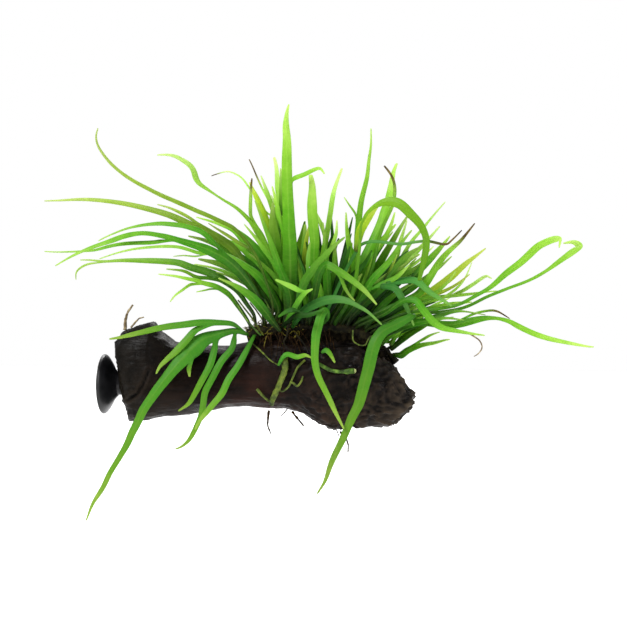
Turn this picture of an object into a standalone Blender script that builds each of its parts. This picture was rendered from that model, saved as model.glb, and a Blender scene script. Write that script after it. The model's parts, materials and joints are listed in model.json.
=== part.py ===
"""Narrow-leaved java fern growing on a piece of driftwood, with a suction cup on the sawn end.

The origin is the centre of the suction cup's rim, in the plane that meets the glass.
+X runs along the wood, away from the glass, +Z is up and -Y is the front. The sizes
below are in millimetres, and MM turns them to metres as each mesh is made.
"""
import bmesh
import bpy
import numpy as np
from math import cos, radians, sin
from mathutils import Vector

MM = 0.001

# Suction cup
CUP_RADIUS = 15.2
CUP_LIP = 0.8
CUP_HOLLOW = 2.6
CUP_RIM_WIDTH = 2.6
NECK_RADIUS = 5.5
CUP_BACK = ((1.6, 14.4), (3.4, 11.8), (5.2, 8.7), (6.5, 7.0), (7.4, 6.1), (8.1, 5.5))
NECK_END = 18.0
CUP_SIDES = 28

# Driftwood, as sections along its length: x, top, bottom, half its depth
WOOD = (
    (9.5, 22.0, -18.5, 15.5),
    (13.0, 26.0, -18.3, 17.0),
    (18.0, 28.5, -17.8, 17.5),
    (25.0, 31.5, -16.8, 17.5),
    (28.0, 26.5, -16.3, 17.0),
    (31.0, 24.3, -16.0, 16.5),
    (35.5, 21.0, -15.8, 16.0),
    (43.0, 19.5, -15.0, 15.5),
    (52.0, 19.0, -13.5, 15.0),
    (62.0, 19.0, -11.7, 14.5),
    (72.0, 21.0, -11.0, 14.5),
    (80.0, 23.0, -11.7, 15.0),
    (90.0, 23.5, -12.3, 15.5),
    (99.0, 23.5, -14.0, 16.0),
    (104.0, 23.5, -17.5, 16.5),
    (109.0, 23.5, -20.3, 17.0),
    (116.0, 23.5, -22.5, 17.0),
    (126.0, 22.5, -21.4, 16.5),
    (133.0, 18.5, -21.5, 16.0),
    (139.0, 14.0, -21.3, 15.5),
    (144.0, 10.5, -20.0, 14.5),
    (148.0, 3.5, -17.3, 13.0),
    (151.0, -0.5, -15.5, 11.0),
    (153.3, -3.0, -12.5, 8.0),
)
WOOD_SIDES = 26
WOOD_STEP = 4.7
SIDE_ROUNDNESS = 0.85
CREST_HEIGHT = 22.0
END_SLANT = 0.19
END_REACH = 14.0
BORE_GAP = 0.3

# The front viewer's eye, along whose sight lines the picture positions below are read
EYE_TURN = radians(6)
EYE_RISE = radians(3)
EYE_REACH = 620.0
PLANT_MIDDLE = Vector((107.6, 0.0, 36.6))
MIDDLE_U, MIDDLE_V = 104.75, 35.25

# Creeping stems: points on the wood as (x, y, height above the wood), and the radius
RHIZOMES = {
    "rhizome_main": (3.6, ((73, -5, 3.6), (80, -3, 4.2), (90, -4, 4.6), (101, -3, 4.4),
                           (112, -4, 4.4), (123, -3, 4.2), (132, -4, 4.2), (138, -2, 3.8))),
    "rhizome_back": (3.0, ((88, 7, 3.4), (98, 8.5, 3.6), (110, 8, 3.8), (122, 8.5, 3.6),
                           (133, 8, 3.6), (140, 7, 3.5), (145.8, 5.5, 3.5))),
}
RHIZOME_STEP = 4.0
RHIZOME_KNOBS = 40
FOOT_GAP = 0.35

# Stems in picture positions (u, v) with their radius and depth
FRONT_RHIZOME = (1.6, ((90, 14), (90.5, 8), (88.5, 2), (86.5, -3), (84.5, -7.5), (83.5, -10)))
CUT_STUB = (0.9, ((107.5, 10), (111, 8), (114.5, 6.5), (120, 6.2), (125, 6.5)))
STUB_END_RADIUS = 1.35
DRY_STALKS = (
    (0.9, ((10.5, 27), (10.8, 32), (12, 36), (14.5, 39.5))),
    (0.55, ((13.5, 28.2), (15.5, 30.6), (17.5, 32.6), (20, 33.4))),
)
ROOTS = (
    (0.7, -6.0, ((82.5, -13.2), (82, -17), (82, -21), (83.5, -25))),
    (0.7, -2.0, ((94, -13.6), (96.5, -17), (100, -21))),
    (0.6, 2.0, ((118, -23.8), (120.5, -26.5), (122, -30), (122, -34))),
)
STEM_STEP = 3.2
STEM_ROUNDNESS = 2
LUMP_ALLOWANCE = 1.07
WOOD_HALF_DEPTH = 16.0
UNDERSIDE_DEPTH = 6.0

# Leaves
LEAF_THICKNESS = 0.5
LEAF_STEP = 8.5
BEND_LENGTH = 5.0
LEAF_TILT = 0.42
WOOD_CLEARANCE = 3.1
LEAF_CLEARANCE = 1.7
HANGING_DEPTH = 20.0
ROUNDS = 200
EVENNESS = 0.5
HOLD = 0.995

# Each frond: rhizome, foot as (x, degrees towards the back), depths at equal shares of
# its length, twist in degrees at its tip, and its blades. A blade is the number of the
# blade that it grows from, how far its tip leans back from that one, its widths at equal
# shares of its length and its route (u, v).
MAIN, BACK = "rhizome_main", "rhizome_back"
FRONDS = {
    "frond_hanging_1": (MAIN, (76, -78), (-12, -22, -25, -27, -29, -30), 15, (
        (None, 0, (1.2, 3.2, 8.5, 5, 4, 3.5, 2.6, 2.4, .6),
         ((70.5, 25.2), (66, 26.6), (60, 25.6), (50.5, 22.6), (43.5, 17.3), (38.5, 12),
          (32.5, 5), (27.5, -1.5), (20, -12), (17.3, -18), (14, -24), (11, -31), (3.7, -43), (-.5, -51.5),
          (-5.5, -59.5), (-9, -68.5))),
        (0, -15, (1.6, 2.4, 3.2, 3.3, 3, 2.4, .8),
         ((69.5, 25.7), (64.5, 30), (55.5, 30.9), (45.5, 30.6), (28, 28.2), (18, 25.8), (8, 23.4),
          (2.5, 22.5))),
        (1, -9, (2, 3, 3.4, 3, 2, .7),
         ((52, 30.3), (45.5, 26.8), (41.5, 22.5), (35.5, 16), (32, 13), (28, 9), (26, 5))),
        (0, 1, (2.6, 2.4, .8), ((41.5, 13.5), (42.3, 8), (42.8, 3.5))),
        (0, -1, (2.8, 3, 2.8, 2.4, .8),
         ((56, 21), (54.5, 14.5), (53, 9.5), (49.5, 3), (45.5, -4.5), (42, -10), (37, -13.5))),
        (0, -7, (2.4, 3, 3, 2.7, 2.3, .7),
         ((65.5, 24.5), (64, 18), (59, 12), (54, 3), (50.5, -4), (49.5, -10.5), (48, -17),
          (44.5, -24.5), (42, -28.5), (38.5, -31.5), (35.5, -32.5))),
    )),
    "frond_hanging_2": (MAIN, (79, -86), (-18, -23, -25, -27), 10, (
        (None, 0, (1.2, 2.6, 3, 3, 2.6, .7),
         ((74, 22), (70, 14.5), (66.5, 8.5), (62, 2), (59, -4.5), (55, -9.5), (48, -18),
          (45.5, -23))),
    )),
    "frond_hanging_3": (MAIN, (110, -80), (-18, -24, -26, -28), -10, (
        (None, 0, (1.2, 1.4, 3.4, 3.9, 3.2, 2.7, 2.3, .7),
         ((111.5, 32), (112, 35.5), (110.8, 37), (108.8, 35), (107.3, 30), (106, 24.5),
          (105.5, 17), (105.5, 11), (107, 4.5), (110, -2), (113, -8), (116, -14.5),
          (120, -22.5))),
    )),
    "frond_hanging_4": (MAIN, (137, -60), (-14, -22, -25, -27, -29), 12, (
        (None, 0, (1.2, 1.3, 3, 5, 5.2, 4.6, 3.4, 2.6, .7),
         ((145, 30), (154, 34.5), (152, 33), (145.5, 29.5), (139.5, 26.5), (136, 22), (134, 16),
          (132.5, 9.5), (129, -4), (127, -10.5), (124, -16.5), (119, -28), (113.5, -39.5),
          (110.5, -48.5), (106.5, -55))),
    )),
    "frond_left_1": (MAIN, (87, -30), (-8, -14, -24), 25, (
        (None, 0, (1.2, 1.1, 1.4, 2.1, 2.3, 2, 1.5, .5),
         ((84.5, 38), (81.5, 50), (75, 66), (65.5, 77.5), (58, 81.5), (50.5, 85), (35.5, 91.5),
          (20.5, 98.5), (7, 107), (-1.5, 116.5), (-4, 123), (-3, 128))),
        (0, 4, (1.4, 1.8, 1.5, .5), ((74, 67), (67, 71), (60, 75.5), (52, 80.5))),
    )),
    "frond_left_2": (MAIN, (83, 25), (4, 12, 22), -20, (
        (None, 0, (1.2, 2.2, 3.8, 3.6, 2.8, 2.2, 1.6, .5),
         ((79.5, 38), (76.5, 46), (66, 66), (53, 75.5), (45.5, 78.5), (34, 84), (20.5, 88), (5.5, 91),
          (-9.5, 92.3), (-22, 91.8), (-30, 91.5))),
        (0, 3, (1.3, 1.5, .5), ((50, 77), (43, 83), (33.5, 87.8), (26.5, 89.8))),
    )),
    "frond_left_3": (MAIN, (84, -60), (-16, -28, -38), 20, (
        (None, 0, (1.2, 2.4, 4.6, 4.8, 3, 2.2, 2.7, 1.6, .5),
         ((80, 35), (76, 45), (64, 60), (50, 68), (35.5, 72.5), (28, 74.5), (20.5, 75.5), (14, 75),
          (9, 73.8), (4, 71.8), (-6, 68.5), (-16, 64), (-24.5, 59))),
        (0, 5, (2, 2.5, 2.3, 1.2, .5),
         ((60, 64), (50.5, 75), (43, 78.3), (35.5, 79.8), (27, 80.3), (14, 78.5), (3, 74.5),
          (-3, 71.5))),
        (0, -8, (1.8, 1.9, 1.6, .9, .4),
         ((33, 73), (25.5, 71), (10.5, 70.3), (3, 69), (-4.5, 67), (-12, 66.3), (-24, 66),
          (-30, 66.3))),
    )),
    "frond_left_4": (MAIN, (80, 30), (8, 14, 18), -15, (
        (None, 0, (1.2, 2, 3.8, 3.2, 2.6, 1.4, .5),
         ((75, 34.5), (71, 40.5), (66, 47.5), (57.5, 53.5), (50.5, 56.5), (43, 58.5), (35.5, 61),
          (18, 61.8), (8, 61.8),
          (.5, 61.3), (-7, 62), (-12, 62))),
        (0, 3, (1, 1, .4), ((-1, 61.5), (-8, 60), (-12, 58), (-14, 55.5), (-14, 52))),
        (0, -3, (1.8, 1.8, 1.4, .5), ((57, 53.5), (47, 53.3), (40, 56.5), (31, 57.5))),
    )),
    "frond_left_5": (MAIN, (88, -15), (-6, -8, -12), 30, (
        (None, 0, (1.4, 3.6, 4.4, 3.6, 2, .8),
         ((87, 38), (79, 52), (68, 61), (55.5, 67), (45.5, 70.5))),
        (0, -2, (1.5, 1.7, 1.6, 1.2, .4),
         ((59, 65.5), (48, 65.5), (43, 67), (35.5, 68.8), (20.5, 68.3), (8, 66), (-2.5, 62.5))),
        (1, 3, (.9, .8, .4), ((50, 65.5), (46, 63.8), (40, 64.3), (34.5, 63.8))),
    )),
    "frond_left_6": (MAIN, (91, -8), (-2, -5, -10), 10, (
        (None, 0, (1.2, 1.6, 2, 2.3, 1.7, .9, 2.7, 2.2, .6),
         ((88, 50), (80, 72), (74, 80.5), (67, 87.5), (59, 92.5), (51.5, 97.5), (48, 100),
          (46, 103), (45, 106.5), (43, 109.5), (39.5, 112), (35.5, 114), (31, 114.7),
          (26.5, 114.5))),
        (0, -5, (1.3, 1.6, 1.5, .6), ((75.5, 79), (73.3, 84), (73.5, 97.5), (74, 103))),
    )),
    "frond_left_7": (BACK, (89, -10), (8, 14, 26), 20, (
        (None, 0, (1.1, 1.6, 2.1, 1.7, 1, .5),
         ((88, 65), (84.5, 86.5), (79, 98), (76.5, 103.5), (74, 109.5), (72.5, 112.5))),
        (0, 8, (.9, 1, .9, .7, .4),
         ((85, 83.5), (81, 86), (78.5, 90), (73, 97.5), (69.5, 102.5), (66, 105), (62, 106.3),
          (58, 105.5), (53.5, 104))),
    )),
    "frond_left_8": (BACK, (92, 20), (12, 14, 18), -15, (
        (None, 0, (1.3, 2.6, 3.4, 3.2, 2.6, 1.2),
         ((90, 60), (88.5, 89.5), (87, 97), (86.5, 104.5), (86, 109.5), (85, 113.5))),
    )),
    "frond_left_9": (MAIN, (77.5, -50), (-12, -18, -26), 15, (
        (None, 0, (1.1, 1.8, 2.6, 2.4, 1.6, .5),
         ((72, 31.5), (67, 39), (62.3, 45), (56, 49), (50.5, 50.3), (45.5, 52), (40.5, 53),
          (35.5, 54), (27, 55))),
        (0, 3, (1.5, 1.3, .5), ((48, 51.3), (43, 49.8), (39.5, 47.2), (35.5, 44.3), (33, 41))),
        (0, 3, (1.1, .5), ((56.5, 48.5), (51, 47), (46, 46))),
    )),
    "frond_left_10": (MAIN, (90, 30), (6, 10, 14), -25, (
        (None, 0, (1.4, 3.4, 4, 3.4, 1.8, .7),
         ((91.5, 39.5), (83, 49.5), (75.5, 61), (68, 68.5), (59, 72.5), (49, 75.5))),
        (0, -3, (1.6, 2, 1.5, .5), ((75, 61.5), (66.5, 75), (57.5, 80), (46, 83.5))),
    )),
    "frond_top_1": (MAIN, (95, -25), (-7, -10, -14), 12, (
        (None, 0, (1.8, 6.2, 6.6, 6, 5, 4.6, 4.2, 3, .6),
         ((93, 47), (93, 67), (92.5, 79.5), (92, 92), (91.5, 104.5), (91.5, 122), (91, 129.5),
          (91.5, 136), (92.5, 140))),
        (0, -6, (2.2, 2, 1.5, .6),
         ((92, 102), (98, 104), (101.5, 105.5), (104.5, 107), (108, 107.8), (110.3, 105))),
        (0, -3, (2, 2.4, 1.8, .6), ((91, 76), (87.5, 84), (86, 92), (84, 99))),
    )),
    "frond_top_2": (MAIN, (104, -10), (-3, -6, -8), -20, (
        (None, 0, (1.6, 3.2, 3.8, 4.4, 4.4, 1.8),
         ((105, 50), (105, 63), (105.2, 71.5), (104.8, 77), (104, 85.3), (104, 93.7),
          (104, 99.2), (103.2, 104.8))),
    )),
    "frond_top_3": (BACK, (100, 0), (10, 11, 12), 20, (
        (None, 0, (1.8, 4.2, 4.4, 3, .9), ((98, 50), (97.5, 67), (99, 74.5), (100.5, 81.5))),
        (0, -3, (2, 2.4, .8), ((96, 62), (94.5, 70), (95, 78))),
    )),
    "frond_top_4": (MAIN, (108, 20), (2, 4, 10), -15, (
        (None, 0, (1.4, 2, 2.5, 2.4, 2.2, 1),
         ((108, 50), (109.5, 64), (113, 84.5), (114, 92), (115.5, 98.5), (119, 108))),
        (0, -4, (1.6, 2, 1.6, .6), ((110, 61), (113.5, 68), (116, 75), (116.5, 82))),
        (0, -3, (1.6, 2, 1.5, .6), ((111.3, 74.5), (108.8, 79.5), (106.5, 84), (104.5, 88.5))),
    )),
    "frond_top_5": (MAIN, (116, -15), (-6, -10, -16), 18, (
        (None, 0, (1.4, 3, 3.2, 2.8, 2.2, 1.4, .5),
         ((124, 50), (126.5, 67), (127, 76), (128.5, 90.5), (131.5, 103), (132.5, 112),
          (133.5, 119.5), (133.5, 128))),
        (0, 5, (2, 2.6, 1.6, .6), ((125.5, 60), (122.5, 70), (121.3, 79.5), (121, 86))),
        (0, -5, (1.1, .9, .4), ((127.5, 83), (123, 89), (120, 93.5))),
    )),
    "frond_top_6": (MAIN, (120, 35), (6, 12, 24), -20, (
        (None, 0, (1.4, 4.6, 5, 4.6, 3.9, 3, 1.2),
         ((126, 50), (129, 59.5), (132, 66), (135, 72.5), (138, 79.2), (140.2, 87), (142.2, 92.6),
          (143.2, 97.5), (143.8, 101.5), (144.8, 106.5), (146.5, 110.5))),
        (0, -5, (2, 2.8, 2, .6), ((132, 63), (137.5, 69), (142.5, 77), (145.5, 86))),
    )),
    "frond_top_7": (MAIN, (124, -45), (-12, -17, -24), 10, (
        (None, 0, (1.2, 1.5, 1.6, 1.5, 1.4, .8),
         ((133, 55), (137.5, 73), (140.5, 81), (144.2, 89), (145.3, 94), (145.5, 98),
          (144.6, 102.5), (142.8, 105.8), (140, 109.2))),
    )),
    "frond_top_8": (MAIN, (118, -50), (-14, -24, -32, -38), 20, (
        (None, 0, (1.4, 1.6, 1.6, 1.3, 1, 1.7, 4.2, 3.8, 2.8, 3, 1.6),
         ((124, 45), (127.5, 65), (128.3, 78), (129.8, 82.5), (132, 86), (135.2, 88.8),
          (139, 90.8), (143, 91.3), (147, 90.6), (150, 88.5), (153, 85.3), (156.3, 82),
          (159, 78.3), (161, 73), (161, 68), (160, 63), (159, 58), (157.5, 51.5))),
    )),
    "frond_top_9": (MAIN, (128, 10), (1, 6, 14), -20, (
        (None, 0, (1.2, 2, 2, 1.5, .5),
         ((141, 50), (147, 60), (153, 70.3), (159.1, 77.5), (164.7, 84.3), (170.8, 91.3))),
        (0, -6, (1.6, 1.9, 1.5, .6), ((147, 60.5), (147.5, 69), (149.5, 75.5), (151.5, 82))),
        (0, 4, (1.6, 2, 1.4, .5), ((141, 49), (149, 56), (157, 61.5), (165, 69))),
    )),
    "frond_top_10": (MAIN, (112, -62), (-16, -24, -32), 10, (
        (None, 0, (1.2, 1.4, 1.4, 1.3, 1.2, .5),
         ((120, 55), (126, 66), (129, 70), (135.5, 71.3), (148, 70), (155.5, 71), (162, 71.5),
          (170.5, 69.8), (174, 72), (179, 77))),
    )),
    "frond_top_11": (MAIN, (93, -45), (-12, -18, -28), 20, (
        (None, 0, (1.4, 3.6, 3.8, 2.8, 1.8, .7),
         ((93.5, 42), (88, 58), (83, 72), (78.5, 84), (75.5, 92))),
        (0, 3, (1.6, 2.2, 1.6, .5), ((88, 59), (81, 66), (76, 73), (70, 80))),
    )),
    "frond_right_1": (MAIN, (126, -20), (-8, -14, -22), 15, (
        (None, 0, (1.2, 2, 3, 3.2, 2.8, 1.7, .5),
         ((140, 37), (155.5, 44), (160.5, 49.5), (165.8, 58.1), (169.5, 63.3), (173.7, 67.6),
          (178, 71.3), (181.3, 75.2), (185.5, 80.5))),
        (0, 5, (1.6, 2, 1.4, .5), ((153, 42.5), (163.5, 44.5), (170.5, 49.5), (176, 56.5))),
    )),
    "frond_right_2": (MAIN, (130, 20), (4, 10, 16), -15, (
        (None, 0, (1.2, 1.8, 2.6, 3.2, 3.8, 2.6, .6),
         ((148, 38), (160, 44.5), (168, 49.5), (172, 52.5), (176, 56), (180.5, 60),
          (184.5, 63), (191, 68))),
        (0, -3, (1.4, 1.8, 1.3, .5), ((160, 43.5), (167, 45.3), (175, 49), (183, 55))),
    )),
    "frond_right_3": (BACK, (127, -10), (12, 18, 26), 15, (
        (None, 0, (1.2, 1.6, 1.4, 1.2, .4),
         ((150, 37), (168, 42.5), (174, 46), (177, 48.5), (180, 52), (182, 56), (184, 61))),
        (0, -7, (1.2, 1.7, 1.5, .5),
         ((171, 44), (178, 46), (182, 48.3), (185.5, 50.5), (189, 53), (191.5, 54), (194, 52.5))),
    )),
    "frond_right_4": (MAIN, (132, -35), (-12, -20, -32), 20, (
        (None, 0, (1.2, 1.3, 1.3, 1.4, 1.6, 2.7, 3.1, 2.7, .5),
         ((150, 35), (170, 38), (178, 40), (185.5, 44), (193.5, 48.6), (200.6, 55), (208.6, 61),
          (216.5, 68.4), (221, 70.9), (224.8, 72.4), (228, 72.3), (227.5, 68))),
    )),
    "frond_right_5": (MAIN, (134, 25), (6, 14, 28), -20, (
        (None, 0, (1.2, 1.5, 1.5, 1.5, 1.5, 1.5, 1.5, 1.7, 3.4, 3.2, .6),
         ((152, 34), (172, 36.5), (182, 39), (192, 43.9), (201.8, 47.8), (211.8, 51.6), (220.2, 56),
          (227.6, 61.5), (234.4, 66.3), (237.5, 69), (234.5, 71), (229.5, 70.3))),
    )),
    "frond_right_6": (BACK, (122, 10), (14, 24, 36), 15, (
        (None, 0, (1.2, 1.7, 2, 1.6, .5),
         ((145, 38), (160, 42), (168, 43.5), (183, 45), (190.5, 46), (197, 46.5))),
    )),
    "frond_right_7": (MAIN, (124, 5), (-2, -6, -9), 25, (
        (None, 0, (1.4, 3.4, 4, 3.4, 2, .7),
         ((131, 41), (140, 49.5), (148, 53.5), (156, 58), (163, 64))),
        (0, 7, (2, 3.2, 2.6, .7), ((140, 49), (146.5, 58.5), (152, 64.5), (159, 69))),
        (0, 5, (1.4, 1.6, 1.5, .5),
         ((150, 54.5), (157, 52.5), (160.5, 49.5), (164.5, 45.5), (170.5, 41.5), (175.5, 38))),
    )),
    "frond_right_8": (MAIN, (137, -12), (-4, -9, -16), 12, (
        (None, 0, (1.4, 2.8, 3.4, 3.5, 3.3, 1.4, 2.4, 2.3, 1.6, .5),
         ((148, 29.5), (160.5, 31), (168, 29.8), (175.5, 29.8), (185.5, 32), (190.5, 33),
          (195.5, 33), (199.5, 32.3), (203.5, 31), (207, 29), (215.5, 25), (225.5, 22),
          (240.5, 19), (245, 18.5))),
        (0, 3, (1.2, 1.1, 1, .4), ((178, 30.5), (183, 34.3), (189, 36.2), (196, 36.6), (203, 32.6))),
    )),
    "frond_right_9": (MAIN, (128, -58), (-16, -22, -26), 15, (
        (None, 0, (1.2, 1.8, 2.4, 3, 3.2, 1.8, .5),
         ((140, 35), (149, 41.5), (155.5, 42), (158.5, 38.5), (162, 34), (165.5, 30.3),
          (169.5, 28), (174, 27), (182, 25.5), (190.5, 24.3))),
    )),
    "frond_right_10": (BACK, (145.4, -25), (6, 12), -15, (
        (None, 0, (1.4, 3.3, 3.2, 2.4, 1.6, .6),
         ((148, 14.3), (151.5, 16.8), (155.5, 18.5), (160.5, 20), (165.5, 20.7), (170.5, 22), (173, 22.3))),
        (0, 3, (1.6, 1.4, .5), ((156, 18.8), (160.5, 23), (164.5, 25), (168, 26))),
    )),
    "frond_right_11": (BACK, (142.5, 0), (8, 10, 16), -20, (
        (None, 0, (1.1, 1.3, 2.6, 2.5, 1.6, .5),
         ((145.5, 19.5), (149.3, 24.5), (154.5, 31), (160.5, 36.5), (166, 40), (173, 43))),
        (0, -3, (1.6, 2.2, 1.6, .5), ((154.5, 31), (161, 31.5), (167, 34.5), (176, 36))),
    )),
    "frond_right_12": (BACK, (138.5, -20), (5, 4, 6), 15, (
        (None, 0, (1.1, 1.3, 2.3, 1.8, .5),
         ((143, 21), (147, 24.5), (153, 28), (160, 34.5), (166, 37))),
    )),
    "frond_front_1": (MAIN, (106, -66), (-17, -24, -32), 15, (
        (None, 0, (1.6, 2.8, 3.3, 3.4, 3, 2.3, .7),
         ((105.5, 46), (107.5, 55), (110.5, 59.5), (114, 58.5), (120.5, 54.5), (126.5, 50),
          (131, 46), (136.5, 39.5))),
        (0, 3, (1.4, 1.5, .5), ((117.5, 56), (120.5, 48), (123, 44), (125.5, 41.5))),
    )),
    "frond_front_2": (MAIN, (98, -58), (-14, -18, -24), -20, (
        (None, 0, (1.6, 3, 4, 3.8, 2.8, .9),
         ((99.5, 49.5), (104, 56.5), (109, 63), (115.5, 69.5), (120.5, 73.5))),
        (0, 4, (1.6, 2.2, .7), ((103, 55), (102, 63), (103, 71))),
    )),
    "frond_front_3": (MAIN, (97, -84), (-20, -29, -36), 15, (
        (None, 0, (1.6, 3.2, 4, 4, 3.2, 1.8, 1.2, .7),
         ((99, 36), (105.5, 40), (110.5, 42), (116.5, 42.5), (122, 41.5), (127, 39), (132, 36),
          (139, 29.5))),
    )),
    "frond_front_4": (MAIN, (93, -72), (-16, -22, -26), -12, (
        (None, 0, (1.4, 2.4, 2.6, 2.4, .8), ((94, 36), (98, 43), (101, 46), (104.5, 47.5))),
        (0, 3, (2, 2.4, .8), ((100, 45), (96, 47.6), (92, 49.5), (85.5, 52.3))),
    )),
    "frond_front_5": (MAIN, (91, -88), (-20, -26, -28), 10, (
        (None, 0, (1.3, 2.4, 2.6, 2, .7), ((93, 32), (96, 34.5), (102, 34.5), (107, 36), (110.5, 38))),
        (0, 3, (1.6, 2.6, 2.3, .8), ((97.5, 34.6), (94.5, 37), (91, 36.3), (87, 33.5))),
    )),
    "frond_inner_1": (BACK, (108, -15), (6, 4, 3), 25, (
        (None, 0, (1.8, 4, 4.2, 2.6, .8), ((109, 45), (111, 55), (114, 64), (117.5, 73))),
        (0, 3, (2, 2.6, 2, .7), ((108.5, 45), (106, 53), (103.5, 61), (102.5, 70))),
    )),
    "frond_inner_2": (MAIN, (112, -28), (-9, -12, -12), -25, (
        (None, 0, (1.8, 3.8, 4.2, 2.6, .8), ((115, 42), (118, 52), (120.5, 60), (123, 69))),
        (0, -3, (2, 3, 2.2, .7), ((118, 50), (124, 54), (130, 60), (134, 67))),
    )),
    "frond_inner_3": (BACK, (115, -10), (6, 8, 8), 20, (
        (None, 0, (1.5, 3.4, 4, 3, .8), ((118, 42), (124, 52), (131, 62), (139, 72), (146, 80))),
        (0, 4, (2, 2.6, 2, .6), ((121, 47), (121, 57), (122, 66), (121.5, 75))),
    )),
    "frond_inner_4": (MAIN, (121, -30), (-12, -14, -18), -15, (
        (None, 0, (1.5, 3, 3.4, 2.4, .7), ((126, 40), (134, 52), (143, 62), (149, 71), (154, 77))),
        (0, -4, (1.8, 2.6, 2, .6), ((132, 48), (139, 50), (147, 54), (153, 60))),
    )),
}
SMALL_LEAVES = {
    "small_leaf_1": (-19.5, 10, (
        (None, 0, (1, 2.2, 2.2, 2, .7),
         ((87, 9), (89.5, 13.5), (92, 15), (96.5, 13.5), (100.5, 14.5), (104, 13))),)),
    "small_leaf_2": (-20.5, -10, (
        (None, 0, (1, 2.3, 2.4, 1.8, .7),
         ((108.5, 15.5), (111, 17), (113.5, 14.5), (115.5, 10.5))),)),
}

# Colour, roughness and metallic value of each finish
FINISHES = {
    "black_rubber": ((0.006, 0.006, 0.007), 0.35, 0.0),
    "dark_driftwood": ((0.014, 0.008, 0.005), 0.6, 0.0),
    "fern_leaf": ((0.080, 0.300, 0.020), 0.42, 0.0),
    "young_leaf": ((0.300, 0.560, 0.070), 0.42, 0.0),
    "rhizome": ((0.110, 0.130, 0.016), 0.6, 0.0),
    "root": ((0.060, 0.035, 0.012), 0.8, 0.0),
    "dry_stalk": ((0.190, 0.160, 0.120), 0.85, 0.0),
}


def clear_scene():
    for old in list(bpy.data.objects):
        bpy.data.objects.remove(old)


def collection(name):
    made = bpy.data.collections.new(name)
    bpy.context.scene.collection.children.link(made)
    return made


def finish(name, node):
    """A material of this finish for one node."""
    colour, roughness, metallic = FINISHES[name]
    made = bpy.data.materials.new(f"{name}_{node}")
    made.use_nodes = True
    shader = made.node_tree.nodes["Principled BSDF"]
    shader.inputs["Base Color"].default_value = (*colour, 1)
    shader.inputs["Roughness"].default_value = roughness
    shader.inputs["Metallic"].default_value = metallic
    return made


def add_piece(name, mesh, finish_name, group):
    piece = bpy.data.objects.new(name, mesh)
    mesh.materials.append(finish(finish_name, name))
    group.objects.link(piece)
    return piece


def mesh_from(bm, name):
    """A mesh of the bmesh, whose sizes are in millimetres."""
    bmesh.ops.scale(bm, vec=(MM, MM, MM), verts=bm.verts)
    mesh = bpy.data.meshes.new(name)
    bm.to_mesh(mesh)
    bm.free()
    mesh.shade_smooth()
    return mesh


def smooth_curve(points):
    """Fine points of a smooth curve through points, and a length that counts bends too."""
    points = np.asarray(points, float)
    ends = np.vstack([2 * points[0] - points[1], points, 2 * points[-1] - points[-2]])
    fine = []
    for a, b, c, d in zip(ends, ends[1:], ends[2:], ends[3:]):
        for t in np.arange(0, 1, 0.05):
            fine.append(0.5 * (2 * b + (c - a) * t + (2 * a - 5 * b + 4 * c - d) * t ** 2
                               + (3 * b - a - 3 * c + d) * t ** 3))
    fine = np.array(fine + [points[-1]])
    pieces = np.diff(fine, axis=0)
    lengths = np.linalg.norm(pieces, axis=1)
    aims = pieces / np.maximum(lengths, 1e-9)[:, None]
    turns = np.arccos(np.clip((aims[1:] * aims[:-1]).sum(axis=1), -1, 1))
    return fine, np.append(0, np.cumsum(lengths + BEND_LENGTH * np.append(0, turns)))


def along_curve(fine, run, at):
    return np.stack([np.interp(at, run, column) for column in fine.T], axis=1)


def smooth_line(points, step, least=2):
    """Points about a step apart, and closer at bends, on a smooth curve through points."""
    fine, run = smooth_curve(points)
    return along_curve(fine, run, np.linspace(0, run[-1], max(least, round(run[-1] / step)) + 1))


# Sight lines from the front viewer's eye

TO_EYE = Vector((sin(EYE_TURN) * cos(EYE_RISE), -cos(EYE_TURN) * cos(EYE_RISE), sin(EYE_RISE)))
EYE_RIGHT = Vector((cos(EYE_TURN), sin(EYE_TURN), 0))
EYE_UP = TO_EYE.cross(EYE_RIGHT)
EYE = PLANT_MIDDLE + TO_EYE * EYE_REACH


def seen_at(u, v, y):
    """The point at depth y on the sight line through the picture position (u, v)."""
    aim = PLANT_MIDDLE + EYE_RIGHT * (u - MIDDLE_U) + EYE_UP * (v - MIDDLE_V) - EYE
    return EYE + aim * ((y - EYE.y) / aim.y)


def picture_of(point):
    """The picture position (u, v) of a point."""
    ray = Vector(point) - EYE
    scale = EYE_REACH / -ray.dot(TO_EYE)
    return MIDDLE_U + ray.dot(EYE_RIGHT) * scale, MIDDLE_V + ray.dot(EYE_UP) * scale


# Driftwood

def wood_section(x):
    """Middle height, height above it, depth below it and half depth of the wood at x."""
    stations = np.array(WOOD)
    top, bottom, half = (np.interp(x, stations[:, 0], stations[:, k]) for k in (1, 2, 3))
    middle = (min(top, CREST_HEIGHT) + bottom) / 2
    return middle, top - middle, middle - bottom, half


def wood_lumps(x, angle):
    """How far the surface stands out or in, as a share of the section."""
    ridge = 0.035 * sin(3 * angle + 0.045 * x + 1.1) + 0.03 * sin(5 * angle - 0.07 * x)
    knot = 0.09 * np.exp(-((x - 140) / 9) ** 2 - ((angle - 3.9) / 0.5) ** 2)
    scar = -0.07 * np.exp(-((x - 112) / 6) ** 2 - ((angle - 4.4) / 0.5) ** 2)
    return ridge * abs(cos(angle)) + knot + scar


def wood_point(x, angle):
    """A point of the wood's surface. Angle 0 is the back, and a quarter turn is the top."""
    middle, above, below, half = wood_section(x)
    out = 1 + wood_lumps(x, angle)
    side, lift = cos(angle), sin(angle)
    wide = half * np.sign(side) * abs(side) ** SIDE_ROUNDNESS
    high = (above if lift > 0 else below) * np.sign(lift) * abs(lift) ** SIDE_ROUNDNESS
    return np.array([x, wide * out, middle + high * out])


def bulge(share):
    """How wide the section is, as a share of its half depth, at a share of its height."""
    return (1 - abs(share) ** (2 / SIDE_ROUNDNESS)) ** (SIDE_ROUNDNESS / 2)


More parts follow.
